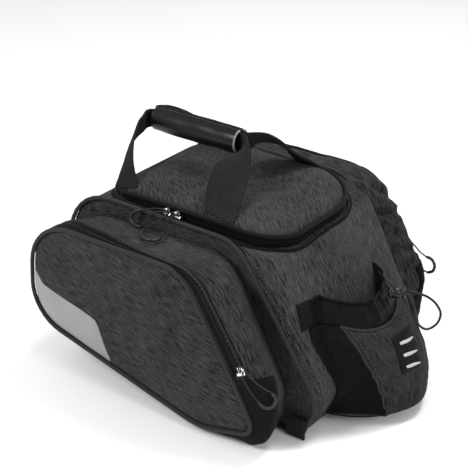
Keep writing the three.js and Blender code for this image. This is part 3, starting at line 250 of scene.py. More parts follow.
def photo_camera():
    """The camera at the photograph's angle."""
    turn, tilt = math.radians(CAMERA_TURN), math.radians(CAMERA_TILT)
    back = Vector((math.sin(turn) * math.cos(tilt), -math.cos(turn) * math.cos(tilt), math.sin(tilt)))
    right = Vector((math.cos(turn), math.sin(turn), 0))
    target = CAMERA_AIM * UP + CAMERA_SHIFT[0] * right + CAMERA_SHIFT[1] * back.cross(right)
    data = bpy.data.cameras.new("photo_camera")
    data.lens, data.sensor_width = CAMERA_LENS, CAMERA_SENSOR
    camera = bpy.data.objects.new("photo_camera", data)
    camera.location = (target + CAMERA_DISTANCE * back) * MM
    camera.rotation_euler = (-back).to_track_quat("-Z", "Y").to_euler()
    bpy.context.collection.objects.link(camera)
    bpy.context.scene.camera = camera


def soft_light(name, place, aim, size, power):
    data = bpy.data.lights.new(name, "AREA")
    data.shape, data.size, data.energy = "DISK", size, power
    light = bpy.data.objects.new(name, data)
    light.location = place
    light.rotation_euler = (Vector(aim) - Vector(place)).to_track_quat("-Z", "Y").to_euler()
    bpy.context.collection.objects.link(light)


def studio():
    world = bpy.data.worlds.new("studio")
    world.use_nodes = True
    sky = world.node_tree.nodes["Background"].inputs
    sky["Color"].default_value, sky["Strength"].default_value = (1, 1, 1, 1), SKY
    bpy.context.scene.world = world
    bpy.context.scene.view_settings.view_transform = "Standard"
    for light in LIGHTS:
        soft_light(*light)
    bm = bmesh.new()
    bmesh.ops.create_grid(bm, x_segments=4, y_segments=4, size=FLOOR_REACH)
    floor = mesh_object("floor", bm, floor_material())


# Mesh helpers


def mesh_object(name, bm, material):
    mesh = bpy.data.meshes.new(name)
    bm.to_mesh(mesh)
    bm.free()
    mesh.materials.append(material)
    mesh.polygons.foreach_set("use_smooth", [True] * len(mesh.polygons))
    obj = bpy.data.objects.new(name, mesh)
    bpy.context.collection.objects.link(obj)
    return obj


def dressed(obj, slot, *nodes):
    """A finished piece: it rides on the bag and stands for the named solids."""
    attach(obj, "root")
    if nodes:
        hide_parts(*nodes)
    return obj


def mix(low, high, share):
    return tuple(a + (b - a) * share for a, b in zip(low, high))


def spread(rows, steps):
    """A table's rows with steps between each two of them."""
    made = []
    for low, high, count in zip(rows, rows[1:], steps):
        made += [mix(low, high, k / count) for k in range(count)]
    return made + [rows[-1]]


def flow(rows, steps):
    """A table's rows with a smooth curve through them."""
    made = []
    for i in range(len(rows) - 1):
        ends = [rows[max(i - 1, 0)], rows[i], rows[i + 1], rows[min(i + 2, len(rows) - 1)]]
        for k in range(steps):
            t = k / steps
            made.append(tuple(
                0.5 * (2 * b + (c - a) * t + (2 * a - 5 * b + 4 * c - d) * t * t
                       + (3 * b - a - 3 * c + d) * t ** 3)
                for a, b, c, d in zip(*ends)))
    return made + [rows[-1]]


def sized(corners, middle, length, floor, height):
    return [(middle + x * length, floor + z * height, r * height) for x, z, r in corners]


def blend(low, high, share):
    return [mix(a, b, share) for a, b in zip(low, high)]


def run_counts(corners, step):
    """How many steps each straight run of an outline gets."""
    ahead = corners[1:] + corners[:1]
    return [max(2, round(math.dist(a[:2], b[:2]) * 0.6 / step)) for a, b in zip(corners, ahead)]


def outline(corners, grow, runs, arcs=8):
    """A rounded outline from corners (x, z, radius), counter-clockwise, moved outwards by grow."""
    edges = []
    for (x, z, _), (ahead_x, ahead_z, _) in zip(corners, corners[1:] + corners[:1]):
        length = math.hypot(ahead_x - x, ahead_z - z)
        normal = ((ahead_z - z) / length, -(ahead_x - x) / length)
        edges.append((normal, normal[0] * x + normal[1] * z + grow))
    bends = []
    for i, corner in enumerate(corners):
        (n, a), (m, b) = edges[i - 1], edges[i]
        det = n[0] * m[1] - n[1] * m[0]
        tip = ((a * m[1] - b * n[1]) / det, (b * n[0] - a * m[0]) / det)
        radius = max(corner[2] + grow, 0.5)
        start = math.atan2(n[1], n[0])
        sweep = (math.atan2(m[1], m[0]) - start) % (2 * math.pi)
        reach = radius / math.cos(sweep / 2)
        middle = [tip[0] - math.cos(start + sweep / 2) * reach, tip[1] - math.sin(start + sweep / 2) * reach]
        bends.append([
            (middle[0] + math.cos(start + sweep * k / arcs) * radius,
             middle[1] + math.sin(start + sweep * k / arcs) * radius) for k in range(arcs + 1)])
    points = []
    for bend, ahead, run in zip(bends, bends[1:] + bends[:1], runs):
        points += bend + [mix(bend[-1], ahead[0], k / run) for k in range(1, run)]
    return points


def normals(grid, closed, centre=None, towards=None):
    """The surface's direction at each point of a grid, away from centre or towards a direction."""
    count = len(grid[0])
    made = []
    for r, row in enumerate(grid):
        below, above = grid[max(r - 1, 0)], grid[min(r + 1, len(grid) - 1)]
        line = []
        for c in range(count):
            left = row[c - 1] if closed or c else row[c]
            right = row[(c + 1) % count] if closed or c + 1 < count else row[c]
            way = (right - left).cross(above[c] - below[c])
            line.append(way.normalized() if way.length > 1e-9 else Vector((0, 0, 0)))
        made.append(line)
    score = sum(
        way.dot(towards if towards is not None else point - centre)
        for row, line in zip(grid, made) for point, way in zip(row, line))
    return [[-way for way in line] for line in made] if score < 0 else made


def soften(grid, times):
    """Rounds a grid off between its first and last rows."""
    for _ in range(times):
        grid = [grid[0]] + [
            [p * 0.5 + (a + b) * 0.25 for a, p, b in zip(below, row, above)]
            for below, row, above in zip(grid, grid[1:], grid[2:])] + [grid[-1]]
    return grid


def fold_height(point, folds):
    """How far folds move a point: a groove with a soft ridge on both sides."""
    height = 0
    for line, depth, width in folds:
        line = [Vector(p) for p in line]
        nearest = (1e9, 0)
        for i, (start, end) in enumerate(zip(line, line[1:])):
            way = end - start
            share = min(max((point - start).dot(way) / way.length_squared, 0), 1)
            nearest = min(nearest, ((point - start - way * share).length, (i + share) / (len(line) - 1)))
        off = nearest[0] / width
        taper = math.sin(math.pi * (0.12 + 0.76 * nearest[1]))
        height += depth * taper * (0.4 * math.exp(-(off - 2.1) ** 2) - math.exp(-off * off))
    return height


def unevenness(point, seed, coarse, fine):
    """Soft dents of worn cloth: coarse ones over some centimetres and fine ones over one."""
    shift = Vector((seed * 13.7, seed * 7.1, seed * 3.3))
    return (coarse * noise.noise(point * 0.022 + shift) + fine * noise.noise(point * 0.075 + shift)
            + 0.35 * fine * noise.noise(point * 0.19 + shift))


def pushed(grid, ways, height):
    """A grid with each point moved along the surface's direction there by height(point)."""
    return [[p + way * height(p) for p, way in zip(row, line)] for row, line in zip(grid, ways)]


def skin(bm, grid, closed):
    """Draws a grid's first row and extrudes it to each next row; gives the rows and the last edges."""
    def joined(line):
        return zip(line, line[1:] + (line[:1] if closed else []))

    rows = [[bm.verts.new(p * MM) for p in grid[0]]]
    edges = [bm.edges.new(pair) for pair in joined(rows[0])]
    for row in grid[1:]:
        made = bmesh.ops.extrude_edge_only(bm, edges=edges)["geom"]
        fresh = {v for v in made if isinstance(v, bmesh.types.BMVert)}
        rows.append([next(e.other_vert(v) for e in v.link_edges if e.other_vert(v) in fresh)
                     for v in rows[-1]])
        for vert, point in zip(rows[-1], row):
            vert.co = point * MM
        edges = [bm.edges.get(pair) for pair in joined(rows[-1])]
    return rows, edges


def wall(obj, thick, offset):
    """Gives a skin its thickness, inwards or to both sides."""
    modifier = obj.modifiers.new("wall", "SOLIDIFY")
    modifier.thickness, modifier.offset = thick * MM, offset


def cloth(name, grid, material, closed=False, fill=False, towards=None, centre=None, uv=None, thick=0):
    """A skin over a grid of points, with a map of its cloth; negative thick goes to both sides."""
    bm = bmesh.new()
    rows, edges = skin(bm, grid, closed)
    if fill:
        bmesh.ops.contextual_create(bm, geom=rows[-1] + edges)
    middle = grid[len(grid) // 2]
    across = [0]
    for a, b in zip(middle, middle[1:] + middle[:1]):
        across.append(across[-1] + (b - a).length)
    up = [0]
    for below, above in zip(grid, grid[1:]):
        up.append(up[-1] + sum((b - a).length for a, b in zip(below, above)) / len(grid[0]))
    place = {v: (across[c], up[r]) for r, line in enumerate(rows) for c, v in enumerate(line)}
    layer = bm.loops.layers.uv.new("cloth")
    for face in bm.faces:
        if uv:
            for loop in face.loops:
                loop[layer].uv = [value * MM for value in uv(loop.vert.co / MM)]
            continue
        wide = max(place[v][0] for v in face.verts) - min(place[v][0] for v in face.verts)
        wraps = closed and wide > across[-1] / 2
        for loop in face.loops:
            s, t = place[loop.vert]
            loop[layer].uv = ((s + (across[-1] if wraps and s < across[-1] / 2 else 0)) * MM, t * MM)
    aim = sum(
        f.normal.dot(towards if towards is not None else f.calc_center_median() / MM - centre)
        for f in updated(bm).faces)
    if aim < 0:
        bmesh.ops.reverse_faces(bm, faces=bm.faces)
    obj = mesh_object(name, bm, material)
    if thick:
        wall(obj, abs(thick), -1 if thick > 0 else 0)
    return obj


def updated(bm):
    """A bmesh with its normals and faces ready to read."""
    bm.normal_update()
    bm.faces.ensure_lookup_table()
    return bm


def tree_of(obj):
    """A piece's surface in millimetres, to lay other pieces on."""
    mesh = obj.data
    return BVHTree.FromPolygons([v.co / MM for v in mesh.vertices], [p.vertices for p in mesh.polygons])


def lengths(points):
    """How far along a line each of its points lies."""
    made = [0]
    for a, b in zip(points, points[1:]):
        made.append(made[-1] + (b - a).length)
    return made


def at_length(points, marks, distance):
    """The point of a line at a distance along it, and the direction there."""
    distance = min(max(distance, 0), marks[-1] - 1e-6)
    i = max(k for k, mark in enumerate(marks[:-1]) if mark <= distance)
    span = max(marks[i + 1] - marks[i], 1e-9)
    way = (points[i + 1] - points[i]).normalized()
    return points[i].lerp(points[i + 1], (distance - marks[i]) / span), way


def evenly(points, count):
    """Points at even steps along a line."""
    marks = lengths(points)
    return [at_length(points, marks, marks[-1] * k / (count - 1))[0] for k in range(count)]


def tube_rings(path, radius, sides, closed, up=None):
    """Circles along a path; up lies across a closed flat path."""
    count = len(path)
    rings, across = [], None
    for i, point in enumerate(path):
        before = path[i - 1] if closed or i else point
        after = path[(i + 1) % count] if closed or i + 1 < count else point
        way = (after - before).normalized()
        if up is not None:
            across, high = way.cross(up).normalized(), up
        else:
            across = across or way.orthogonal()
            across = (across - way * across.dot(way)).normalized()
            high = way.cross(across)
        wide = radius(i / max(count - 1, 1)) if callable(radius) else radius
        rings.append([
            point + across * math.cos(2 * math.pi * s / sides) * wide
            + high * math.sin(2 * math.pi * s / sides) * wide for s in range(sides)])
    return rings


def tube(name, path, radius, material, sides=10, closed=False, up=None):
    """A round cord or piping along a path, closed at its seam or at both ends."""
    rings = tube_rings(path, radius, sides, closed, up)
    bm = bmesh.new()
    rows, _ = skin(bm, rings + (rings[:1] if closed else []), True)
    layer = bm.loops.layers.uv.new("cloth")
    marks = lengths(path + path[:1])
    place = {v: (s / sides, marks[r]) for r, line in enumerate(rows) for s, v in enumerate(line)}
    for face in bm.faces:
        wraps = max(place[v][0] for v in face.verts) > 0.5 > min(place[v][0] for v in face.verts) + 0.25
        for loop in face.loops:
            turn, along = place[loop.vert]
            loop[layer].uv = (turn + (1 if wraps and turn < 0.25 else 0), along * MM)
    if closed:
        bmesh.ops.remove_doubles(bm, verts=bm.verts, dist=1e-6)
    else:
        for line in (rows[0], rows[-1]):
            bmesh.ops.contextual_create(bm, geom=line)
    bmesh.ops.recalc_face_normals(bm, faces=bm.faces)
    return mesh_object(name, bm, material)


def beads_along(name, lines, material, pitch, size, lift=0.0):
    """One small rounded bead at each step along lines of (point, surface direction)."""
    bead = bmesh.new()
    bmesh.ops.create_uvsphere(bead, u_segments=6, v_segments=4, radius=1)
    unit = bpy.data.meshes.new("bead")
    bead.to_mesh(unit)
    bead.free()
    stretch = Matrix.Diagonal([value * MM for value in size] + [1])
    bm = bmesh.new()
    for line in lines:
        points = [p for p, _ in line]
        marks = lengths(points)
        count = int(marks[-1] / pitch)
        for k in range(count):
            distance = (k + 0.5) * marks[-1] / count
            point, way = at_length(points, marks, distance)
            nearest = min(range(len(marks)), key=lambda i: abs(marks[i] - distance))
            side = way.cross(line[nearest][1]).normalized()
            out = side.cross(way)
            turn = Matrix((way, side, out)).transposed().to_4x4()
            placed = unit.copy()
            placed.transform(Matrix.Translation((point + out * lift) * MM) @ turn @ stretch)
            bm.from_mesh(placed)
            bpy.data.meshes.remove(placed)
    bpy.data.meshes.remove(unit)
    return mesh_object(name, bm, material)


def stitches(name, lines, material):
    """Rows of stitches, each a short raised thread."""
    return beads_along(name, lines, material, STITCH_PITCH, STITCH_SIZE, STITCH_LIFT)


def strip_on(grid, ways, columns, distances, lift, from_last=True):
    """Points on a grid's surface at distances from its last or first row, raised by lift."""
    made = [[] for _ in distances]
    for c in columns:
        order = range(len(grid) - 1, -1, -1) if from_last else range(len(grid))
        points = [grid[r][c] for r in order]
        outs = [ways[r][c] for r in order]
        marks = lengths(points)
        for line, distance in zip(made, distances):
            d = min(distance, marks[-1] - 1e-6)
            i = max(k for k, mark in enumerate(marks[:-1]) if mark <= d)
            share = (d - marks[i]) / max(marks[i + 1] - marks[i], 1e-9)
            out = outs[i].lerp(outs[i + 1], share).normalized()
            raised = lift(distance) if callable(lift) else lift
            line.append((points[i].lerp(points[i + 1], share) + out * raised, out))
    return made


def points_of(strip):
    return [[p for p, _ in line] for line in strip]


# Shader node groups and materials


class Sheet:
    """A node tree that takes nodes from left to right."""

    def __init__(self, tree):
        self.tree = tree

    def add(self, kind, values=None, **settings):
        node = self.tree.nodes.new(kind)
        node.location = (len(self.tree.nodes) * 180, 0)
        for key, value in settings.items():
            setattr(node, key, value)
        for key, value in (values or {}).items():
            if isinstance(value, bpy.types.NodeSocket):
                self.tree.links.new(value, node.inputs[key])
            else:
                node.inputs[key].default_value = value
        return node

    def math(self, operation, a, b=0.0):
        return self.add("ShaderNodeMath", {0: a, 1: b}, operation=operation).outputs[0]

    def ranged(self, value, low, high, first=0.0, last=1.0):
        return self.add("ShaderNodeMapRange", {0: value, 1: low, 2: high, 3: first, 4: last}).outputs[0]

    def blend(self, share, a, b):
        return self.add("ShaderNodeMix", {0: share, 6: a, 7: b}, data_type="RGBA").outputs[2]


def group_of(name, inputs, outputs, draw):
    tree = bpy.data.node_groups.new(name, "ShaderNodeTree")
    for label, kind, value in inputs:
        socket = tree.interface.new_socket(label, in_out="INPUT", socket_type=kind)
        if value is not None:
            socket.default_value = value
    for label, kind in outputs:
        tree.interface.new_socket(label, in_out="OUTPUT", socket_type=kind)
    sheet = Sheet(tree)
    source = sheet.add("NodeGroupInput")
    results = draw(sheet, source.outputs)
    end = sheet.add("NodeGroupOutput")
    for (label, _), value in zip(outputs, results):
        tree.links.new(value, end.inputs[label])
    return tree


def draw_yarn(sheet, given):
    """Streaks of light and dark yarn along and across the cloth."""
    split = sheet.add("ShaderNodeSeparateXYZ", {0: given["Vector"]}).outputs
    threads = []
    for along, over in ((split[0], split[1]), (split[1], split[0])):
        long = sheet.math("MULTIPLY", along, given["Long"])
        fine = sheet.math("MULTIPLY", over, given["Fine"])
        place = sheet.add("ShaderNodeCombineXYZ", {0: long, 1: fine, 2: given["Seed"]})
        streak = sheet.add("ShaderNodeTexNoise", {
            "Vector": place.outputs[0], "Scale": 1.0, "Detail": 2.0, "Roughness": 0.65})
        threads.append(streak.outputs["Fac"])
    weft = sheet.math("MULTIPLY", threads[1], given["Weft"])
    warp = sheet.math("MULTIPLY", threads[0], sheet.math("SUBTRACT", 1.0, given["Weft"]))
    both = sheet.math("ADD", weft, warp)
    sharp = sheet.ranged(both, 0.4, 0.6)
    cloud = sheet.add("ShaderNodeTexNoise", {"Vector": given["Vector"], "Scale": 14.0, "Detail": 3.0})
    faded = sheet.ranged(cloud.outputs["Fac"], 0.3, 0.7, -0.12, 0.12)
    clamped = sheet.add("ShaderNodeClamp", {0: sheet.math("ADD", sharp, faded)}).outputs[0]
    return [sheet.blend(clamped, given["Dark"], given["Light"]), clamped]


def draw_weave(sheet, given):
    """Over and under of a plain or twill weave, as a height."""
    split = sheet.add("ShaderNodeSeparateXYZ", {0: given["Vector"]}).outputs
    across = sheet.math("MULTIPLY", split[0], given["Threads"])
    up = sheet.math("MULTIPLY", split[1], given["Threads"])
    plain = sheet.math("MULTIPLY", sheet.math("SINE", across), sheet.math("SINE", up))
    slant = sheet.math("SINE", sheet.math("ADD", sheet.math("MULTIPLY", across, 0.7), up))
    twill = sheet.math("MULTIPLY", slant, given["Twill"])
    rest = sheet.math("MULTIPLY", plain, sheet.math("SUBTRACT", 1.0, given["Twill"]))
    loose = sheet.add("ShaderNodeTexNoise", {"Vector": given["Vector"], "Scale": 900.0, "Detail": 2.0})
    rough = sheet.math("MULTIPLY", loose.outputs["Fac"], 0.8)
    return [sheet.math("ADD", sheet.math("ADD", twill, rest), rough)]


def draw_wear(sheet, given):
    """Dust and rubbed places: a slow cloud that lightens a colour a little."""
    cloud = sheet.add("ShaderNodeTexNoise", {
        "Vector": given["Vector"], "Scale": given["Scale"], "Detail": 5.0, "Roughness": 0.6})
    mask = sheet.ranged(cloud.outputs["Fac"], 0.45, 0.75)
    amount = sheet.math("MULTIPLY", mask, given["Amount"])
    return [sheet.blend(amount, given["Color"], given["Dust"]), mask]


THREAD_DEPTH, GRAIN_DEPTH = 0.0004, 0.0003
VECTOR, FLOAT, COLOUR = "NodeSocketVector", "NodeSocketFloat", "NodeSocketColor"
YARN = group_of("heather_yarn", [
    ("Vector", VECTOR, None), ("Long", FLOAT, 110.0), ("Fine", FLOAT, 1300.0), ("Weft", FLOAT, 0.3),
    ("Seed", FLOAT, 0.0), ("Dark", COLOUR, (0.01, 0.01, 0.01, 1)), ("Light", COLOUR, (0.05, 0.05, 0.05, 1)),
], [("Color", COLOUR), ("Share", FLOAT)], draw_yarn)
WEAVE = group_of("woven_threads", [
    ("Vector", VECTOR, None), ("Threads", FLOAT, 4500.0), ("Twill", FLOAT, 0.0),
], [("Height", FLOAT)], draw_weave)
WEAR = group_of("dust_and_rub", [
    ("Vector", VECTOR, None), ("Scale", FLOAT, 20.0), ("Amount", FLOAT, 0.3),
    ("Color", COLOUR, (0.02, 0.02, 0.02, 1)), ("Dust", COLOUR, (0.06, 0.06, 0.06, 1)),
], [("Color", COLOUR), ("Mask", FLOAT)], draw_wear)


def grey(value, tint=0.0):
    """A grey, a little blue with tint."""
    return (value * (1 - tint), value, value * (1 + tint), 1)


def bare_material(name):
    material = bpy.data.materials.new(name)
    material.use_nodes = True
    sheet = Sheet(material.node_tree)
    return material, sheet, material.node_tree.nodes["Principled BSDF"]


def pattern_place(sheet, own_map=True, turn=0.0):
    """Where a pattern is read: the piece's own map of its cloth, or its place in the bag."""
    if own_map:
        where = sheet.add("ShaderNodeUVMap", uv_map="cloth").outputs[0]
    else:
        where = sheet.add("ShaderNodeTexCoord").outputs["Object"]
    return sheet.add("ShaderNodeMapping", {0: where, 2: (0, 0, math.radians(turn))}).outputs[0]


def finish_cloth(sheet, shader, colour, height, rough, bump, depth, sheen):
    tree = sheet.tree
    tree.links.new(colour, shader.inputs["Base Color"])
    raised = sheet.add("ShaderNodeBump", {"Height": height, "Strength": bump, "Distance": depth})
    tree.links.new(raised.outputs[0], shader.inputs["Normal"])
    shader.inputs["Roughness"].default_value = rough
    shader.inputs["Sheen Weight"].default_value = sheen
    shader.inputs["Sheen Roughness"].default_value = 0.45
    shader.inputs["Specular IOR Level"].default_value = 0.06


def heather_material(name, dark, light, turn, seed, weft, long, fine):
    """Cloth of light and dark yarn: long and fine are its streaks and threads in each metre."""
    material, sheet, shader = bare_material(name)
    where = pattern_place(sheet, turn=turn)
    yarn = sheet.add("ShaderNodeGroup", node_tree=YARN)
    for key, value in {"Long": long, "Fine": fine, "Weft": weft, "Seed": seed,
                       "Dark": grey(dark, 0.02), "Light": grey(light, 0.02)}.items():
        yarn.inputs[key].default_value = value
    sheet.tree.links.new(where, yarn.inputs["Vector"])
    weave = sheet.add("ShaderNodeGroup", node_tree=WEAVE)
    sheet.tree.links.new(where, weave.inputs["Vector"])
    height = sheet.math("ADD", weave.outputs[0], yarn.outputs["Share"])
    worn = sheet.add("ShaderNodeGroup", node_tree=WEAR)
    sheet.tree.links.new(yarn.outputs["Color"], worn.inputs["Color"])
    sheet.tree.links.new(where, worn.inputs["Vector"])
    worn.inputs["Dust"].default_value = grey(light * 1.15)
    worn.inputs["Amount"].default_value = 0.18
    finish_cloth(sheet, shader, worn.outputs["Color"], height, 0.92, 0.35, THREAD_DEPTH, 0.03)
    return material


def woven_material(name, dark, light, threads=3800.0, twill=1.0, rough=0.85, bump=0.4, sheen=0.02,
                   own_map=True):
    """Plain cloth, tape, webbing or thread, woven straight or in a twill."""
    material, sheet, shader = bare_material(name)
    where = pattern_place(sheet, own_map)
    weave = sheet.add("ShaderNodeGroup", node_tree=WEAVE)
    weave.inputs["Threads"].default_value = threads
    weave.inputs["Twill"].default_value = twill
    sheet.tree.links.new(where, weave.inputs["Vector"])
    share = sheet.ranged(weave.outputs[0], -0.6, 1.6)
    colour = sheet.blend(share, grey(dark, 0.02), grey(light, 0.02))
    worn = sheet.add("ShaderNodeGroup", node_tree=WEAR)
    sheet.tree.links.new(colour, worn.inputs["Color"])
    sheet.tree.links.new(where, worn.inputs["Vector"])
    worn.inputs["Dust"].default_value = grey(light * 1.4)
    finish_cloth(sheet, shader, worn.outputs["Color"], weave.outputs[0], rough, bump, THREAD_DEPTH, sheen)
    return material


def smooth_material(name, colour, rough, grain, bump, metallic=0.0, specular=0.5):
    """Leather-like cover, rubber, plastic or metal: grain in its height and its gloss."""
    material, sheet, shader = bare_material(name)
    where = sheet.add("ShaderNodeTexCoord").outputs["Object"]
    cells = sheet.add("ShaderNodeTexVoronoi", {"Vector": where, "Scale": grain})
    cloud = sheet.add("ShaderNodeTexNoise", {"Vector": where, "Scale": grain / 9, "Detail": 4.0})
    gloss = sheet.ranged(cloud.outputs["Fac"], 0.25, 0.75, rough * 0.8, min(1.0, rough * 1.25))
    worn = sheet.add("ShaderNodeGroup", node_tree=WEAR)
    sheet.tree.links.new(where, worn.inputs["Vector"])
    worn.inputs["Color"].default_value = colour
    worn.inputs["Dust"].default_value = [min(1, c * 1.5) for c in colour[:3]] + [1]
    sheet.tree.links.new(worn.outputs["Color"], shader.inputs["Base Color"])
    sheet.tree.links.new(gloss, shader.inputs["Roughness"])
    raised = sheet.add("ShaderNodeBump", {
        "Height": cells.outputs["Distance"], "Strength": bump, "Distance": GRAIN_DEPTH})
    sheet.tree.links.new(raised.outputs[0], shader.inputs["Normal"])
    shader.inputs["Metallic"].default_value = metallic
    shader.inputs["Specular IOR Level"].default_value = specular
    return material


def braid_material(name, dark, light, turns, pitch, rough=0.6):
    """A braid round a cord: crossing slanted strands on the cord's own map."""
    material, sheet, shader = bare_material(name)
    where = sheet.add("ShaderNodeUVMap", uv_map="cloth").outputs[0]
    split = sheet.add("ShaderNodeSeparateXYZ", {0: where}).outputs
    around = sheet.math("MULTIPLY", split[0], turns * 2 * math.pi)
    along = sheet.math("MULTIPLY", split[1], 2 * math.pi / (pitch * MM))
    one = sheet.math("SINE", sheet.math("ADD", around, along))
    other = sheet.math("SINE", sheet.math("SUBTRACT", around, along))
    height = sheet.math("MAXIMUM", one, other)
    colour = sheet.blend(sheet.ranged(height, -0.4, 1.0), grey(dark), grey(light))
    finish_cloth(sheet, shader, colour, height, rough, 0.5, GRAIN_DEPTH, 0.1)
    return material


def floor_material():
    material, _, shader = bare_material("studio_floor")
    shader.inputs["Base Color"].default_value = grey(0.86)
    shader.inputs["Roughness"].default_value = 0.9
    return material


# Heather cloths: dark and light yarn, turn of the weave, seed, share of weft, streaks, threads
HEATHERS = {
    "trunk": (0.006, 0.06, 0, 1.0, 0.2, 70, 1100),
    "lid": (0.008, 0.05, 33, 4.0, 0.15, 80, 1000),
    "panel": (0.005, 0.05, -19, 7.0, 0.2, 70, 1100),
    "gusset": (0.004, 0.045, 0, 9.0, 0.2, 70, 1100),
    "front": (0.003, 0.035, 90, 12.0, 0.2, 70, 1100),
}


def make_materials():
    return {key: heather_material(f"{key}_heather", *values) for key, values in HEATHERS.items()} | {
        "twill": woven_material("dark_twill", 0.002, 0.01),
        "band": woven_material("lid_band_twill", 0.001, 0.005, threads=3000.0),
        "tape": woven_material("zipper_tape", 0.002, 0.008, threads=4200.0, twill=0.8),
        "webbing": woven_material("handle_webbing", 0.003, 0.024, threads=2600.0, twill=0.9, rough=0.85),
        "piping": woven_material("piping_cloth", 0.01, 0.04, threads=4200.0, twill=0.3, rough=0.6,
                                 sheen=0.05),
        "black_piping": woven_material("lid_piping_cloth", 0.002, 0.01, threads=4200.0, twill=0.3, rough=0.6),
        "nylon": woven_material("collar_nylon", 0.001, 0.004, threads=6000.0, twill=0.0, rough=0.45,
                                bump=0.2),
        "net": woven_material("net_knit", 0.002, 0.012, threads=9000.0, twill=0.5, rough=0.7, own_map=False),
        "thread": woven_material("stitch_thread", 0.03, 0.09, threads=9000.0, rough=0.6, own_map=False),
        "dark_thread": woven_material("dark_thread", 0.001, 0.003, threads=9000.0, rough=0.6, own_map=False),
        "base": woven_material("base_cloth", 0.002, 0.01, own_map=False),
        "leather": smooth_material("wrap_leather", grey(0.003), 0.3, 1500.0, 0.12, specular=0.25),
        # Light grey of the handle cover's rear rim: a painted highlight on the dark cover
        "edge": smooth_material("wrap_rim_painted_highlight", grey(0.16), 0.4, 2000.0, 0.1),
        "rubber": smooth_material("slit_rubber", grey(0.003), 0.6, 1800.0, 0.2, specular=0.1),
        "slit": smooth_material("slit_inlay", grey(0.4), 0.45, 1500.0, 0.1),
        "reflective": smooth_material("reflective_cloth", grey(0.22), 0.4, 2600.0, 0.15, specular=0.3),
        "metal": smooth_material("slider_metal", grey(0.75), 0.16, 900.0, 0.05, metallic=1.0),
        "lock": smooth_material("lock_plastic", grey(0.004), 0.3, 900.0, 0.05, specular=0.3),
        "cord": braid_material("pull_cord_braid", 0.006, 0.03, 4, 1.6),
        "shock": braid_material("shock_cord_braid", 0.005, 0.028, 5, 2.2),
        "sleeve": smooth_material("pull_sleeve", grey(0.015), 0.4, 1500.0, 0.1, specular=0.3),
    }


# Forms of the trunk


trunk_side = sized(TRUNK_SIDE, TRUNK_MIDDLE_X, TRUNK_LENGTH, TRUNK_FLOOR, TRUNK_HEIGHT - TRUNK_FLOOR)
trunk_centre = sized(TRUNK_CENTRE, TRUNK_MIDDLE_X, TRUNK_LENGTH, TRUNK_FLOOR, TRUNK_HEIGHT - TRUNK_FLOOR)
trunk_runs = run_counts(trunk_centre, 4.5)
pocket_seam, pocket_gusset, pocket_panel = (
    sized(table, POCKET_MIDDLE_X, POCKET_LENGTH, 0, POCKET_HEIGHT)
    for table in (POCKET_SEAM, POCKET_GUSSET, POCKET_PANEL))
pocket_runs = run_counts(pocket_gusset, 3.6)


def trunk_grid():
    """Rows across the trunk, from the near seam to the far one."""
    half = flow(TRUNK_ROWS, 7)
    half = [(y, max(0, min(1, centre))) for y, centre in half]
    rows = [(-y, centre) for y, centre in half] + half[-2::-1]
    grid = []
    for y, centre in rows:
        ring = outline(blend(trunk_side, trunk_centre, centre), 0, trunk_runs)
        grid.append([Vector((x, y * TRUNK_HALF, z)) for x, z in ring])
    ways = normals(grid, True, centre=Vector((TRUNK_MIDDLE_X, 0, TRUNK_HEIGHT / 2)))

    def height(p):
        held = min(1, (TRUNK_HALF - abs(p.y)) / 14)
        level = min(1, max(0, (p.z - 12) / 20))
        return held * level * (unevenness(p, 1, 1.6, 0.5) + fold_height(p, TRUNK_FOLDS))

    return pushed(grid, ways, height), ways


def trunk_pieces():
    """The trunk's cloth, stitches and piping; gives the cloth's surface."""
    grid, ways = trunk_grid()
    walls = []
    for side in (-1, 1):
        wall = []
        for inset, bulge in ((0, 0), (2.5, 0.5), (6, 0.9), (10, 0.6), (14, 0.0), (22, 0), (34, 0)):
            ring = outline(trunk_side, -inset, trunk_runs)
            wall.append([Vector((x, side * (TRUNK_HALF + bulge), z)) for x, z in ring])
        walls.append(wall)
    whole = walls[0][:0:-1] + grid + walls[1][1:]
    body = cloth("trunk_cloth", whole, MATERIALS["trunk"], closed=True, fill=True,
                 centre=Vector((TRUNK_MIDDLE_X, 0, 90)))
    dressed(body, "heather", "trunk_shell")
    lines = []
    for from_last in (False, True):
        for distance in TRUNK_STITCHES:
            strip = strip_on(grid, ways, range(len(grid[0])), [distance], 0.1, from_last)
            lines.append([(p, way) for p, way in strip[0] if p.z > 14])
    sewn = stitches("trunk_stitches", lines, MATERIALS["dark_thread"])
    dressed(sewn, "heather")
    for label, side in SIDES.items():
        y = side * (TRUNK_HALF + PIPING_SEAT)
        ring = outline(trunk_side, PIPING_SEAT / 2, trunk_runs)
        path = [Vector((x, y, max(z, PIPING_RADIUS))) for x, z in ring]
        piping = tube(f"trunk_piping_{label}", path, PIPING_RADIUS, MATERIALS["piping"], closed=True,
                      up=Vector((0, 1, 0)))
        dressed(piping, "piping", f"seam_piping_{label}")
    return tree_of(body)


# Lid


def lid_plan(grow):
    """The lid's outline from above, moved outwards by grow."""
    x, y = LID_MIDDLE
    front, rear = x - LID_LENGTH / 2, x + LID_LENGTH / 2
    near, far = y - LID_WIDTH / 2, y + LID_WIDTH / 2
    return outline([
        (front, near, LID_CORNERS["front"]), (rear, near, LID_CORNERS["rear_near"]),
        (rear, far, LID_CORNERS["rear_far"]), (front, far, LID_CORNERS["front"]),
    ], grow, LID_RUNS, 10)


def lid_edge(x):
    """The height of the lid's edge, which dips towards both ends."""
    share = (x - LID_MIDDLE[0]) / (LID_LENGTH / 2)
    return LID_EDGE - LID_DIP * share ** 4


def on_trunk(trunk, x, y, lift):
    """A point a little above the trunk's roof or rear slope."""
    spot, out, _, _ = trunk.ray_cast(Vector((x, y, FAR_OFF)), -UP)
    return spot + out * lift, out


def seen_from_rear(tree, y, z):
    """Where a line from behind meets a surface, and the surface's direction there."""
    return tree.ray_cast(Vector((FAR_OFF, y, z)), -REAR)[:2]


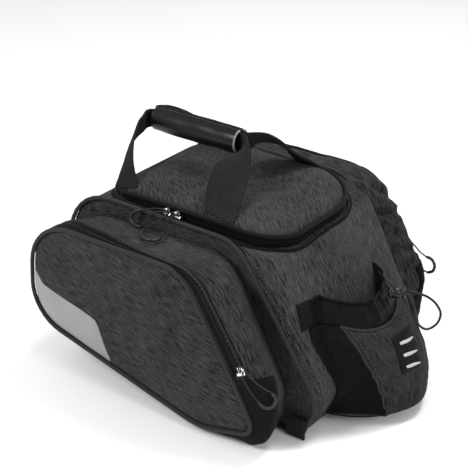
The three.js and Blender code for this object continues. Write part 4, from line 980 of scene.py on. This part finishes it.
def lid_pieces(trunk):
    """The padded lid, its turned-down band, edge piping and zipper."""
    rows = []
    for inset, crown in flow(LID_ROWS, 5):
        ring = lid_plan(-inset * LID_WIDTH / 2)
        rows.append([Vector((x, y, lid_edge(x) + crown * LID_CROWN)) for x, y in ring])
    middle = sum(rows[-1], Vector()) / len(rows[-1])
    peak = middle + 0.8 * UP
    rows += [[p.lerp(peak, share) for p in rows[-1]] for share in (0.2, 0.4, 0.6, 0.8, 0.95)]
    ways = normals(rows, True, towards=UP)
    for r, (row, line) in enumerate(zip(rows, ways)):
        held = min(1, r / 5)
        rows[r] = [p + way * held * (unevenness(p, 3, 1.8, 0.5) + fold_height(p, LID_FOLDS))
                   for p, way in zip(row, line)]
    top = cloth("lid_top", rows, MATERIALS["lid"], closed=True, fill=True, towards=UP,
                uv=lambda p: (p.x, p.y), thick=2.5)
    dressed(top, "heather", "lid")
    band = []
    for grow, share in ((0.0, 0.0), (0.6, 0.12), (1.2, 0.35), (1.7, 0.65), (2.0, 1.0)):
        ring = []
        for x, y in lid_plan(grow):
            foot = on_trunk(trunk, x, y, 0.1)[0].z
            ring.append(Vector((x, y, lid_edge(x) + (foot - lid_edge(x)) * share)))
        band.append(ring)
    turned_down = cloth("lid_band", band, MATERIALS["band"], closed=True, thick=1.2,
                        centre=Vector((*LID_MIDDLE, TRUNK_HEIGHT)))
    dressed(turned_down, "twill")
    path = [Vector((x, y, lid_edge(x) + 0.6 * PIPING_SEAT)) for x, y in lid_plan(0.8 * PIPING_SEAT)]
    piping = tube("lid_edge_piping", path, PIPING_RADIUS, MATERIALS["black_piping"], closed=True, up=UP)
    dressed(piping, "piping", "lid_piping")
    roots, ends = lid_plan(3.4), lid_plan(3.4 + 9)

    def beside_lid(distance, lift):
        """Points beside the lid's edge, at a distance along the trunk's slope."""
        line = []
        for (x, y), (end_x, end_y) in zip(roots, ends):
            level = max(0.35, on_trunk(trunk, x, y, 0)[1].z)
            narrow = 1 - 0.5 * min(1, max(0, (x - 40) / 50))
            share = distance * level / 9 * narrow
            line.append(on_trunk(trunk, x + (end_x - x) * share, y + (end_y - y) * share, lift))
        return line

    tape = points_of(beside_lid(*section) for section in LID_TAPE)
    dressed(cloth("lid_zipper_tape", soften(tape, 1), MATERIALS["tape"], closed=True,
                  centre=Vector((*LID_MIDDLE, 120))), "tape", "lid_zipper")
    zipper_teeth("lid_zipper_teeth", beside_lid(*LID_COIL), True)
    dressed(stitches("lid_stitches", [beside_lid(*LID_STITCHES)], MATERIALS["dark_thread"]), "tape")


def zipper_teeth(name, line, closed):
    """The zipper's coil: short bars across its line."""
    if closed:
        line = line + line[:1]
    dressed(beads_along(name, [line], MATERIALS["lock"], TOOTH_PITCH, TOOTH_SIZE), "tape")


# Side pockets


def pocket_corners(stage):
    if stage < 1:
        return blend(pocket_seam, pocket_gusset, stage)
    return blend(pocket_gusset, pocket_panel, stage - 1)


def gusset_grid(side):
    """Rows round a pocket, from the trunk's seam to the outer panel's."""
    rows = spread(GUSSET_ROWS, (13, 6, 3, 5))
    grid = []
    for depth, stage in rows:
        ring = outline(pocket_corners(stage), 0, pocket_runs)
        y = side * (POCKET_BACK + depth * POCKET_DEPTH)
        grid.append([Vector((x, y, z)) for x, z in ring])
    grid = soften(grid, 5)
    ways = normals(grid, True, centre=Vector((POCKET_MIDDLE_X, side * 128, 95)))

    def height(p):
        share = (side * p.y - POCKET_BACK) / POCKET_DEPTH
        held = max(0, math.sin(math.pi * min(1, max(0, share)))) ** 0.6
        mirrored = Vector((p.x, -abs(p.y), p.z))
        slack = 2.2 * math.sin(p.x * 0.045 + p.z * 0.07 + side) * max(0, held - 0.3)
        return held * (unevenness(p, 5 + side, 2.2, 0.8) + fold_height(mirrored, GUSSET_FOLDS)) + 0.5 * slack

    return pushed(grid, ways, height), ways


def panel_grid(side, grid):
    """Rows round a pocket's outer panel, from its seam to its middle."""
    rows = [grid[-1]]
    for depth, inset in flow(PANEL_ROWS, 3)[1:]:
        ring = outline(pocket_panel, -inset * POCKET_DEPTH, pocket_runs)
        y = side * (POCKET_BACK + depth * POCKET_DEPTH)
        rows.append([Vector((x, y, z)) for x, z in ring])
    middle = sum(rows[-1], Vector()) / len(rows[-1])
    middle.y += side * 0.6
    last = rows[-1]
    rows += [[p.lerp(middle, share) for p in last] for share in PANEL_STEPS]
    way = Vector((0, side, 0))
    made = []
    for r, row in enumerate(rows):
        held = min(1, r / 6)
        made.append([p + way * held * unevenness(p, 8 + side, 1.7, 0.45) for p in row])
    return made


def within(point, ring):
    """True where a point lies inside a closed outline in X and Z."""
    crossings = 0
    for a, b in zip(ring, ring[1:] + ring[:1]):
        if (a.z > point.z) != (b.z > point.z):
            crossings += point.x < a.x + (b.x - a.x) * (point.z - a.z) / (b.z - a.z)
    return crossings % 2 == 1


def patch_rows(side, panel):
    """The reflective patch between its own upper edge and the panel's piping."""
    corners = [Vector((POCKET_MIDDLE_X + x * POCKET_LENGTH, 0, z * POCKET_HEIGHT)) for x, z in PATCH_EDGE]
    inside = outline(pocket_panel, PIPING_OUT - PIPING_SEAT - 1.2, pocket_runs, 12)
    ring = [Vector((x, 0, z)) for x, z in inside]
    edge = [p for p in evenly(corners, 400) if within(p, ring)]
    start, end = (min(range(len(ring)), key=lambda i: (ring[i] - tip).length) for tip in (edge[0], edge[-1]))
    foot = ring[start:] + ring[:end + 1] if start > end else ring[start:end + 1]
    count, levels = 90, 16
    upper, lower = evenly(edge, count)[1:-1], evenly(foot, count)[1:-1]
    rows = []
    for k in range(levels + 1):
        line = []
        for a, b in zip(lower, upper):
            p = a.lerp(b, k / levels)
            spot = panel.ray_cast(Vector((p.x, side * 300, p.z)), Vector((0, -side, 0)))[0]
            if spot is None:
                spot = panel.find_nearest(Vector((p.x, side * 150, p.z)))[0]
            line.append(Vector((p.x, spot.y + side * 0.55, p.z)))
        rows.append(line)
    return rows


def pocket_pieces(label, side):
    """One side pocket with its zipper, binding, patches, stitches and slider."""
    grid, ways = gusset_grid(side)
    centre = Vector((POCKET_MIDDLE_X, side * 128, 95))
    out = Vector((0, side, 0))
    gusset = cloth(f"pocket_gusset_{label}", grid, MATERIALS["gusset"], closed=True, centre=centre, thick=2)
    panel = cloth(f"pocket_panel_{label}", panel_grid(side, grid), MATERIALS["panel"], closed=True, fill=True,
                  towards=out, uv=lambda p: (p.x, p.z * side), thick=2)
    dressed(gusset, "panel")
    dressed(panel, "panel", f"pocket_{label}")
    tree = tree_of(panel)
    y = side * (POCKET_BACK + POCKET_DEPTH + 0.84 * PIPING_SEAT)
    path = [Vector((x, y, z)) for x, z in outline(pocket_panel, PIPING_OUT, pocket_runs)]
    piping = tube(f"panel_piping_{label}", path, PIPING_RADIUS, MATERIALS["piping"], closed=True,
                  up=Vector((0, 1, 0)))
    dressed(piping, "piping", f"pocket_piping_{label}")
    edge = grid[-1]
    order = list(range(len(edge)))
    top = [c for c in order if edge[c].z >= ZIPPER_END_Z
           and (edge[c].x >= ZIPPER_BREAK_X or edge[c].z >= ZIPPER_FRONT_Z)]
    tape = strip_on(grid, ways, top, list(POCKET_TAPE), POCKET_TAPE.get)
    dressed(cloth(f"pocket_zipper_tape_{label}", points_of(tape), MATERIALS["tape"], centre=centre), "tape",
            f"pocket_zipper_{label}")
    zipper_teeth(f"pocket_zipper_teeth_{label}", strip_on(grid, ways, top, [POCKET_COIL], 1.5)[0], False)
    binding = points_of(strip_on(grid, ways, top, [POCKET_BINDING], 2.1))[0]
    dressed(tube(f"pocket_binding_{label}", binding, 0.9, MATERIALS["piping"], sides=8), "tape")

    def laid_on(name, columns, lift, node):
        """A dark layer of cloth over the gusset, from the panel's seam inwards."""
        layer = strip_on(grid, ways, columns, PATCH_DEPTHS,
                         lambda d: lift[0] if d == PATCH_DEPTHS[0] else lift[1])
        made = cloth(f"{name}_{label}", points_of(layer), MATERIALS["twill"], centre=centre, thick=1.0)
        dressed(made, "twill", f"{node}_{label}")
        return layer

    rear = [c for c in order if edge[c].x > 30 and 34 < edge[c].z < ZIPPER_END_Z - 1]
    corner = laid_on("pocket_corner_patch", rear, (0.6, 1.6), "pocket_corner")
    low = [c for c in order if edge[c].z <= BAND_TOP and edge[c].x > ZIPPER_BREAK_X
           or edge[c].x <= ZIPPER_BREAK_X and edge[c].z < BAND_FRONT_TOP]
    first = min(range(len(low)), key=lambda i: (low[i] - low[i - 1] == 1, i))
    laid_on("pocket_under_band", low[first:] + low[:first], (0.5, 1.3), "pocket_band")
    seam = strip_on(grid, ways, order, POCKET_SEAM_STITCHES, 0.05, from_last=False)
    dressed(stitches(f"pocket_seam_stitches_{label}", seam, MATERIALS["dark_thread"]), "panel")
    lines = [strip_on(grid, ways, top, [distance], lift)[0] for distance, lift in POCKET_STITCHES]
    upper = 0 if edge[rear[0]].z > edge[rear[-1]].z else -1
    lines.append([(row[upper][0] + row[upper][1] * 0.1, row[upper][1]) for row in corner])
    dressed(stitches(f"pocket_stitches_{label}", lines, MATERIALS["thread"]), "panel")
    bare = cloth(f"reflective_patch_{label}", patch_rows(side, tree), MATERIALS["reflective"], towards=out,
                 thick=0.5)
    dressed(bare, "reflective", f"reflective_{label}")
    slider(f"pocket_slider_{label}", Vector(POCKET_SLIDERS[label]), Vector((-0.5, side * 0.1, 0.86)),
           Vector((0.1, side, 0.06)), f"slider_pocket_{label}")


# Handle


def strap_rings(side):
    """A webbing loop as rows across it, from its front foot over the top to its rear foot."""
    base_y = LID_MIDDLE[1] + side * LID_WIDTH / 2
    wrap_y = WRAP_MIDDLE[1] + side * STRAP_SPREAD
    rows = flow(STRAP_ROWS, 6)
    middles = []
    for along, out, rise, _, _ in rows:
        x = HANDLE_MIDDLE_X + along * HANDLE_SPAN
        foot = lid_edge(x)
        raised = 2.4 * max(0, 1 - rise * 4)
        middles.append(Vector((x, wrap_y + (base_y - wrap_y) * out,
                               foot + raised + rise * (LID_EDGE + HANDLE_RISE - foot))))
    grid = []
    for i, (_, _, _, wide, lean) in enumerate(rows):
        way = (middles[min(i + 1, len(rows) - 1)] - middles[max(i - 1, 0)]).normalized()
        across = Vector((math.cos(math.radians(lean)), 0, math.sin(math.radians(lean))))
        across = (across - way * across.dot(way)).normalized()
        out = way.cross(across)
        half = wide * STRAP_WIDTH / 2
        grid.append([middles[i] + across * half * w + out * 0.9 * (1 - w * w) * side
                     for w in (-1, -0.93, -0.7, -0.35, 0, 0.35, 0.7, 0.93, 1)])
    return grid


def handle_pieces():
    """Both webbing loops and the cover round them, with its rims and stitches."""
    for label, side in SIDES.items():
        grid = strap_rings(side)
        strap = cloth(f"handle_strap_{label}", grid, MATERIALS["webbing"], towards=Vector((0, side, 0.2)),
                      thick=-STRAP_THICK)
        soft_edges(strap, 0.5)
        dressed(strap, "webbing", f"strap_{label}")
    half = [inner + WRAP_THICK / 2 for inner in WRAP_INNER]
    x, y = WRAP_MIDDLE
    z = LID_EDGE + HANDLE_RISE
    sweep = 360 - (WRAP_SLOT[1] - WRAP_SLOT[0])
    rows = []
    for k in range(41):
        along = k / 40 - 0.5
        squeeze = 1 - 0.05 * (abs(along) * 2) ** 6 + 0.012 * math.sin(along * 19)
        line = []
        for step in range(49):
            turn = math.radians(WRAP_SLOT[1] + sweep * step / 48)
            lump = 1 + 0.02 * noise.noise(Vector((along * 5, math.cos(turn) * 2, math.sin(turn) * 2)))
            line.append(Vector((x + along * WRAP_LENGTH, y + math.cos(turn) * half[0] * squeeze * lump,
                                z + math.sin(turn) * half[1] * squeeze * lump)))
        rows.append(line)
    wrap = cloth("handle_cover", rows, MATERIALS["leather"], centre=Vector((x, y, z)), thick=-WRAP_THICK)
    soft_edges(wrap, 0.7)
    dressed(wrap, "leather", "handle_wrap")
    # Rims round both ends: the front one has the cover's dark leather, and the rear one's light grey is a
    # painted highlight
    for label, line, rim_leather_or_highlight in (("front", rows[0], "leather"), ("rear", rows[-1], "edge")):
        rim = tube(f"handle_cover_rim_{label}", line, 1.25, MATERIALS[rim_leather_or_highlight], sides=8)
        dressed(rim, "leather")
    sewn = []
    for column in (2, -3):
        points = [row[column] for row in rows[1:-1]]
        outs = [(p - Vector((p.x, y, z))).normalized() for p in points]
        sewn.append([(p + out * 1.1, out) for p, out in zip(points, outs)])
    dressed(stitches("handle_cover_stitches", sewn, MATERIALS["dark_thread"]), "leather")


def soft_edges(obj, width):
    """Rounds the sharp edges of a thick piece."""
    bevel = obj.modifiers.new("edges", "BEVEL")
    bevel.width, bevel.segments, bevel.limit_method = width * MM, 2, "ANGLE"


# Bottle pocket


def hem_z(y):
    """The hem's height, lowest at the pocket's middle."""
    share = min(1, abs(y - BOTTLE_MIDDLE_Y) / HEM_REACH)
    return BOTTLE_FLOOR + BOTTLE_HEIGHT + HEM_RISE * share * share


def bottle_ring(row, steps=96):
    """One ring of the bottle pocket in plan, from the near end round the front to the far end."""
    _, back, reach, half, near, power = row
    middle = trunk_centre[1][0] - back * BOTTLE_DEPTH
    ring = []
    for k in range(steps + 1):
        turn = -math.pi / 2 + math.pi * k / steps
        c, n = max(0, math.cos(turn)), math.sin(turn)
        ring.append((middle + reach * BOTTLE_DEPTH * c ** (2 / power),
                     BOTTLE_MIDDLE_Y - near * BOTTLE_HALF
                     + half * BOTTLE_HALF * math.copysign(abs(n) ** (2 / power), n)))
    return ring


def bottle_line(row, trunk):
    """A section of the pocket in space, cut off where it meets the trunk."""
    points = [Vector((x, y, BOTTLE_FLOOR + row[0] * (hem_z(y) - BOTTLE_FLOOR))) for x, y in bottle_ring(row)]
    clear = []
    for p in points:
        spot = seen_from_rear(trunk, p.y, p.z)[0]
        if spot is None or p.x > spot.x + 0.6:
            clear.append(p)
    return near_end(trunk, clear[0], 4) + clear


def near_end(trunk, start, count):
    """Points on the trunk's skin from the pocket's near edge to where its cloth is sewn down."""
    reach = SEWN_REACH * min(1, max(0, (start.z - SEWN_FOOT) / SEWN_RISE))
    points = []
    for k in range(count, 0, -1):
        spot, out = seen_from_rear(trunk, start.y - reach * k / count, start.z)
        points.append(spot + out * SEWN_LIFT)
    return points


def seam_y(side, z):
    """Where the front panel meets a net, at a height."""
    return BOTTLE_MIDDLE_Y + side * (SEAM_FOOT + SEAM_LEAN * (z - BOTTLE_FLOOR))


def divided(points, count):
    """Even steps along a line, or copies of its one point."""
    return evenly(points, count) if len(points) > 1 else [points[0].copy() for _ in range(count)]


def bottle_pieces(trunk):
    """The bottle pocket: front panel, floor, nets, hem, seams and stitches, then collar and patch."""
    parts = {"near": [], "front": [], "far": []}
    for row in flow(BOTTLE_ROWS, 7):
        line = bottle_line(row, trunk)
        near = [p for p in line if p.y <= seam_y(-1, p.z)]
        far = [p for p in line if p.y >= seam_y(1, p.z)]
        front = [p for p in line if seam_y(-1, p.z) < p.y < seam_y(1, p.z)]
        near = near or [front[0]]
        far = far or [front[-1]]
        front = [near[-1]] + front + [far[0]]
        for key, points, count in (("near", near, 20), ("far", far, 20), ("front", front, 60)):
            parts[key].append(divided(points, count))
    ways = normals(parts["front"], False, towards=REAR)

    def height(p):
        held = min(1, (p.z - BOTTLE_FLOOR) / 10, (hem_z(p.y) - p.z) / 8 + 0.2)
        return max(0, held) * (unevenness(p, 15, 2.2, 0.9) + fold_height(p, FRONT_FOLDS))

    front = pushed(parts["front"], ways, height)
    cup = cloth("bottle_panel", front, MATERIALS["front"], towards=REAR, thick=1.6)
    dressed(cup, "heather", "bottle_front")
    foot = parts["near"][0][:1] + front[0] + parts["far"][0][-1:]
    floor_rows = [[p.lerp(Vector((trunk_centre[1][0] - 2, p.y, BOTTLE_FLOOR + 1)), share) for p in foot]
                  for share in (0, 0.3, 0.6, 1)]
    dressed(cloth("bottle_floor", floor_rows, MATERIALS["twill"], towards=-UP, thick=1.0), "heather")
    for label in SIDES:
        columns = [evenly(list(column), 24) for column in zip(*parts[label])]
        net = knitted_net(f"bottle_mesh_{label}", [list(row) for row in zip(*columns)])
        dressed(net, "net", f"bottle_net_{label}")
    hem = [p + way * 0.2 for p, way in zip(front[-1], ways[-1])]
    dressed(tube("bottle_hem", hem, 1.3, MATERIALS["piping"], sides=8), "heather")
    for label, column in (("near", 0), ("far", -1)):
        seam = [row[column] + way[column] * 0.4 for row, way in zip(front, ways)]
        dressed(tube(f"bottle_seam_{label}", seam, 1.0, MATERIALS["piping"], sides=8), "heather")
    edge = [[(row[c] + way[c] * 0.1, way[c]) for row, way in zip(front, ways)][2:-2] for c in (3, -4)]
    edge.append([(p, way) for p, way in zip(front[-3], ways[-3])])
    dressed(stitches("bottle_stitches", edge, MATERIALS["thread"]), "heather")
    collar(trunk)
    slit_patch(tree_of(cup))


def knitted_net(name, grid):
    """A net of thin crossing threads with small open holes."""
    whole = cloth(name, grid, MATERIALS["net"], towards=REAR)
    bm = bmesh.new()
    bm.from_mesh(whole.data)
    straight = [e for e in bm.edges if not e.is_boundary]
    bmesh.ops.poke(bm, faces=bm.faces)
    bmesh.ops.dissolve_edges(bm, edges=straight)
    bmesh.ops.remove_doubles(bm, verts=bm.verts, dist=2e-4)
    bm.to_mesh(whole.data)
    bm.free()
    threads = whole.modifiers.new("threads", "WIREFRAME")
    threads.thickness, threads.use_even_offset = NET_THREAD * MM, False
    return whole


def collar(trunk):
    """The gathered collar over the hem, with the channel of its cord."""
    rows = []
    for row in spread(COLLAR_ROWS, (7, 7)):
        rise = row[0]
        line = []
        ring = bottle_ring(row, 180)
        for i, (x, y) in enumerate(ring):
            z = hem_z(y) + rise * COLLAR_HEIGHT - 0.5
            ahead, behind = ring[min(i + 1, len(ring) - 1)], ring[max(i - 1, 0)]
            way = Vector((ahead[1] - behind[1], behind[0] - ahead[0], 0)).normalized()
            loose = math.sin(math.pi * i / (len(ring) - 1))
            wave = math.sin(i * 0.3 + 2.2 * noise.noise(Vector((i * 0.05, 3.1, 0))))
            wave += 0.45 * math.sin(i * 0.71 + 2.0 + 2 * rise)
            gather = COLLAR_GATHER * wave * rise * loose
            sag = COLLAR_SAG * noise.noise(Vector((i * 0.045, rise * 1.6, 7)))
            sag *= math.sin(math.pi * min(1, rise * 0.9 + 0.1))
            line.append(Vector((x, y, z + 0.5 * wave * rise * loose)) + way * (gather + sag - 0.8))
        rows.append(line)
    keep = []
    for p in rows[0]:
        spot = seen_from_rear(trunk, p.y, p.z)[0]
        keep.append(spot is None or p.x > spot.x + 0.5)
    first, last = keep.index(True), len(keep) - 1 - keep[::-1].index(True)
    rows = [near_end(trunk, row[first], 5) + row[first:last + 1] for row in rows]
    gathered = cloth("bottle_drawstring_collar", rows, MATERIALS["nylon"], towards=REAR, thick=0.6)
    dressed(gathered, "tape", "bottle_collar")
    rim = [p + 0.4 * UP for p in rows[-1]]
    dressed(tube("collar_channel", rim, CHANNEL_RADIUS, MATERIALS["nylon"], sides=8), "tape")


def slit_patch(front):
    """The rubber patch with its three slits, laid on the pocket's front."""
    corners = [(BOTTLE_MIDDLE_Y + y * BOTTLE_HALF, BOTTLE_FLOOR + z * BOTTLE_HEIGHT) for y, z in SLIT_PATCH]

    def on_front(y, z, lift):
        return seen_from_rear(front, y, z)[0] + lift * REAR

    rows = []
    for k in range(15):
        v = k / 14
        line = []
        for j in range(19):
            u = j / 18
            y, z = mix(mix(corners[0], corners[1], u), mix(corners[3], corners[2], u), v)
            edge = min(u, 1 - u, v, 1 - v)
            line.append(on_front(y, z, 0.5 + min(1, edge * 14) * 0.9))
        rows.append(line)
    patch = cloth("slit_patch_rubber", rows, MATERIALS["rubber"], towards=REAR, thick=0.8)
    dressed(patch, "rubber", "slit_patch")
    bm = bmesh.new()
    for start, end, height in SLITS:
        y0, y1 = (BOTTLE_MIDDLE_Y + y * BOTTLE_HALF for y in (start, end))
        z0 = BOTTLE_FLOOR + height * BOTTLE_HEIGHT
        z1 = BOTTLE_FLOOR + (height - BAR_FALL) * BOTTLE_HEIGHT
        previous = None
        for k in range(15):
            share = k / 14
            wide = BAR_WIDTH * math.sin(math.pi * (0.1 + 0.8 * share)) ** 0.5 * (1 - 0.45 * share)
            y, z = y0 + (y1 - y0) * share, z0 + (z1 - z0) * share
            pair = [bm.verts.new(on_front(y, z + s * wide, BAR_LIFT) * MM) for s in (-1, 1)]
            if previous:
                bm.faces.new((previous[0], pair[0], pair[1], previous[1]))
            previous = pair
    if sum(f.normal.x for f in updated(bm).faces) < 0:
        bmesh.ops.reverse_faces(bm, faces=bm.faces)
    bars = mesh_object("slit_inlays", bm, MATERIALS["slit"])
    wall(bars, 0.8, 0)
    dressed(bars, "rubber")


def collar_tab(trunk):
    """The tab that sews the collar's near end to the trunk."""
    rows = []
    for k in range(9):
        z = TAB_CORNER[1] + TAB_SIZE[1] * k / 8
        line = []
        for j in range(9):
            y = TAB_CORNER[0] + TAB_SIZE[0] * j / 8 + (z - TAB_CORNER[1] - TAB_SIZE[1] / 2) * TAB_LEAN
            spot, out = seen_from_rear(trunk, y, z)
            edge = min(k, 8 - k, j, 8 - j)
            line.append(spot + out * (0.5 if edge == 0 else 1.6))
        rows.append(line)
    tab = cloth("drawstring_tab", rows, MATERIALS["twill"], towards=Vector((1, 0, 0.3)), thick=0.8)
    dressed(tab, "twill", "collar_tab")


# Sliders, cords and straps


# Parts of a slider: size, place and bevel
SLIDER_PARTS = [
    ((9.2, 5.6, 1.1), (0, 0, 1.0), 0.5), ((9.6, 6.4, 1.0), (0, 0, 2.2), 0.5),
    ((1.5, 3.4, 1.4), (3.2, 0, 1.7), 0.3), ((3.0, 0.9, 4.6), (-1.5, -2.4, 4.4), 0.35),
    ((3.0, 0.9, 4.6), (-1.5, 2.4, 4.4), 0.35), ((3.0, 5.7, 1.0), (-1.5, 0, 6.3), 0.4),
]


def block(bm, size, place, matrix, bevel):
    made = bmesh.ops.create_cube(bm, size=1, matrix=Matrix.Identity(4))["verts"]
    bmesh.ops.scale(bm, vec=Vector(size) * MM, verts=made)
    edges = list({e for v in made for e in v.link_edges})
    fresh = bmesh.ops.bevel(bm, geom=edges, offset=bevel * MM, affect="EDGES", segments=2, profile=0.5,
                            material=-1)
    verts = list({v for f in fresh["faces"] for v in f.verts} | {v for v in made if v.is_valid})
    bmesh.ops.transform(bm, matrix=matrix @ Matrix.Translation(Vector(place) * MM), verts=verts)


def slider(name, origin, along, out, node):
    """A zipper's metal slider, its length along the teeth and its top outwards."""
    z = out.normalized()
    y = z.cross(along).normalized()
    x = y.cross(z)
    matrix = Matrix.Translation(origin * MM) @ Matrix((x, y, z)).transposed().to_4x4()
    bm = bmesh.new()
    for size, place, bevel in SLIDER_PARTS:
        block(bm, size, place, matrix, bevel)
    dressed(mesh_object(name, bm, MATERIALS["metal"]), "metal", node)


def route(points, count):
    """A smooth line through given points, evenly divided."""
    fine = [Vector(p) for p in flow([tuple(p) for p in points], 12)]
    return evenly(fine, count)


def free_cord(name, points, radius, material, node, count, sides):
    path = route(points, count)
    cord = tube(name, path, radius, material, sides=sides)
    dressed(cord, "cord", node)
    lengths(path)[-1] * MM


def cords():
    for label, routes in PULLS.items():
        sleeve = tube(f"pull_sleeve_{label}", route(routes["tube"], 40),
                      lambda share: 1.7 - 0.25 * abs(2 * share - 1) ** 8, MATERIALS["sleeve"], sides=12)
        dressed(sleeve, "cord", f"pull_tube_{label}")
        free_cord(f"pull_loop_{label}", routes["cord"], 0.8, MATERIALS["cord"], f"pull_cord_{label}", 90, 8)
    free_cord("drawstring_loop", SHOCK_CORD, 1.25, MATERIALS["shock"], "shock_cord", 150, 10)


def cord_lock():
    """The barrel lock on the drawstring, with a ring at both ends and a hollow for the cord."""
    profile = [
        (-8.5, 4.5), (-8.5, 5.2), (-8.0, 5.8), (-7.2, 6.0), (-6.2, 5.9), (-5.6, 5.3), (-4.8, 5.3),
        (-4.2, 5.9), (0, 6.05), (4.2, 5.9), (4.8, 5.3), (5.6, 5.3), (6.2, 5.9), (7.2, 6.0), (8.0, 5.8),
        (8.5, 5.2), (8.5, 4.5),
    ]
    z = Vector(LOCK_AXIS).normalized()
    x = z.orthogonal().normalized()
    matrix = Matrix.Translation(Vector(LOCK_MIDDLE) * MM) @ Matrix((x, z.cross(x), z)).transposed().to_4x4()
    bm = bmesh.new()
    verts = [bm.verts.new((r * MM, 0, along * MM)) for along, r in profile]
    edges = [bm.edges.new(pair) for pair in zip(verts, verts[1:] + verts[:1])]
    bmesh.ops.spin(bm, geom=verts + edges, cent=(0, 0, 0), axis=(0, 0, 1), dvec=(0, 0, 0), angle=2 * math.pi,
                   steps=32, use_merge=True, use_duplicate=False)
    bmesh.ops.remove_doubles(bm, verts=bm.verts, dist=1e-6)
    bmesh.ops.recalc_face_normals(bm, faces=bm.faces)
    bmesh.ops.transform(bm, matrix=matrix, verts=bm.verts)
    dressed(mesh_object("drawstring_lock", bm, MATERIALS["lock"]), "rubber", "cord_lock")


def rack_strap(label, side):
    """A strap's end beside the base, lapped over itself."""
    lap, top = 1.95, 25
    start = TRUNK_HALF + 2 * PIPING_SEAT + 1.2
    rear = trunk_side[1][0] + 7
    profile = flow([
        (0, 1.2), (0, 12), (0.1, top - 3), (lap * 0.6, top - 0.9), (lap * 1.2, top - 3), (lap * 1.2, 12),
        (lap * 1.35, 5),
    ], 5)
    rows = [[Vector((rear - RACK_STRAP_WIDTH * (1 - j / 8), side * (start + y), z)) for j in range(9)]
            for y, z in profile]
    strap = cloth(f"carrier_strap_{label}", rows, MATERIALS["webbing"], towards=Vector((0, side, 0.1)),
                  thick=-1.5)
    soft_edges(strap, 0.4)
    dressed(strap, "webbing", f"rack_strap_{label}")


MATERIALS = make_materials()
photo_camera()
cords()
studio()
trunk = trunk_pieces()
lid_pieces(trunk)
for label, side in SIDES.items():
    pocket_pieces(label, side)
    rack_strap(label, side)
handle_pieces()
bottle_pieces(trunk)
collar_tab(trunk)
cord_lock()
for label, (x, y) in LID_SLIDERS.items():
    slider(f"{label}_slider", Vector((x, y, 196.9)), REAR, UP, f"slider_{label}")
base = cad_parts["base_panel"]
base.material_slots[0].material = MATERIALS["base"]
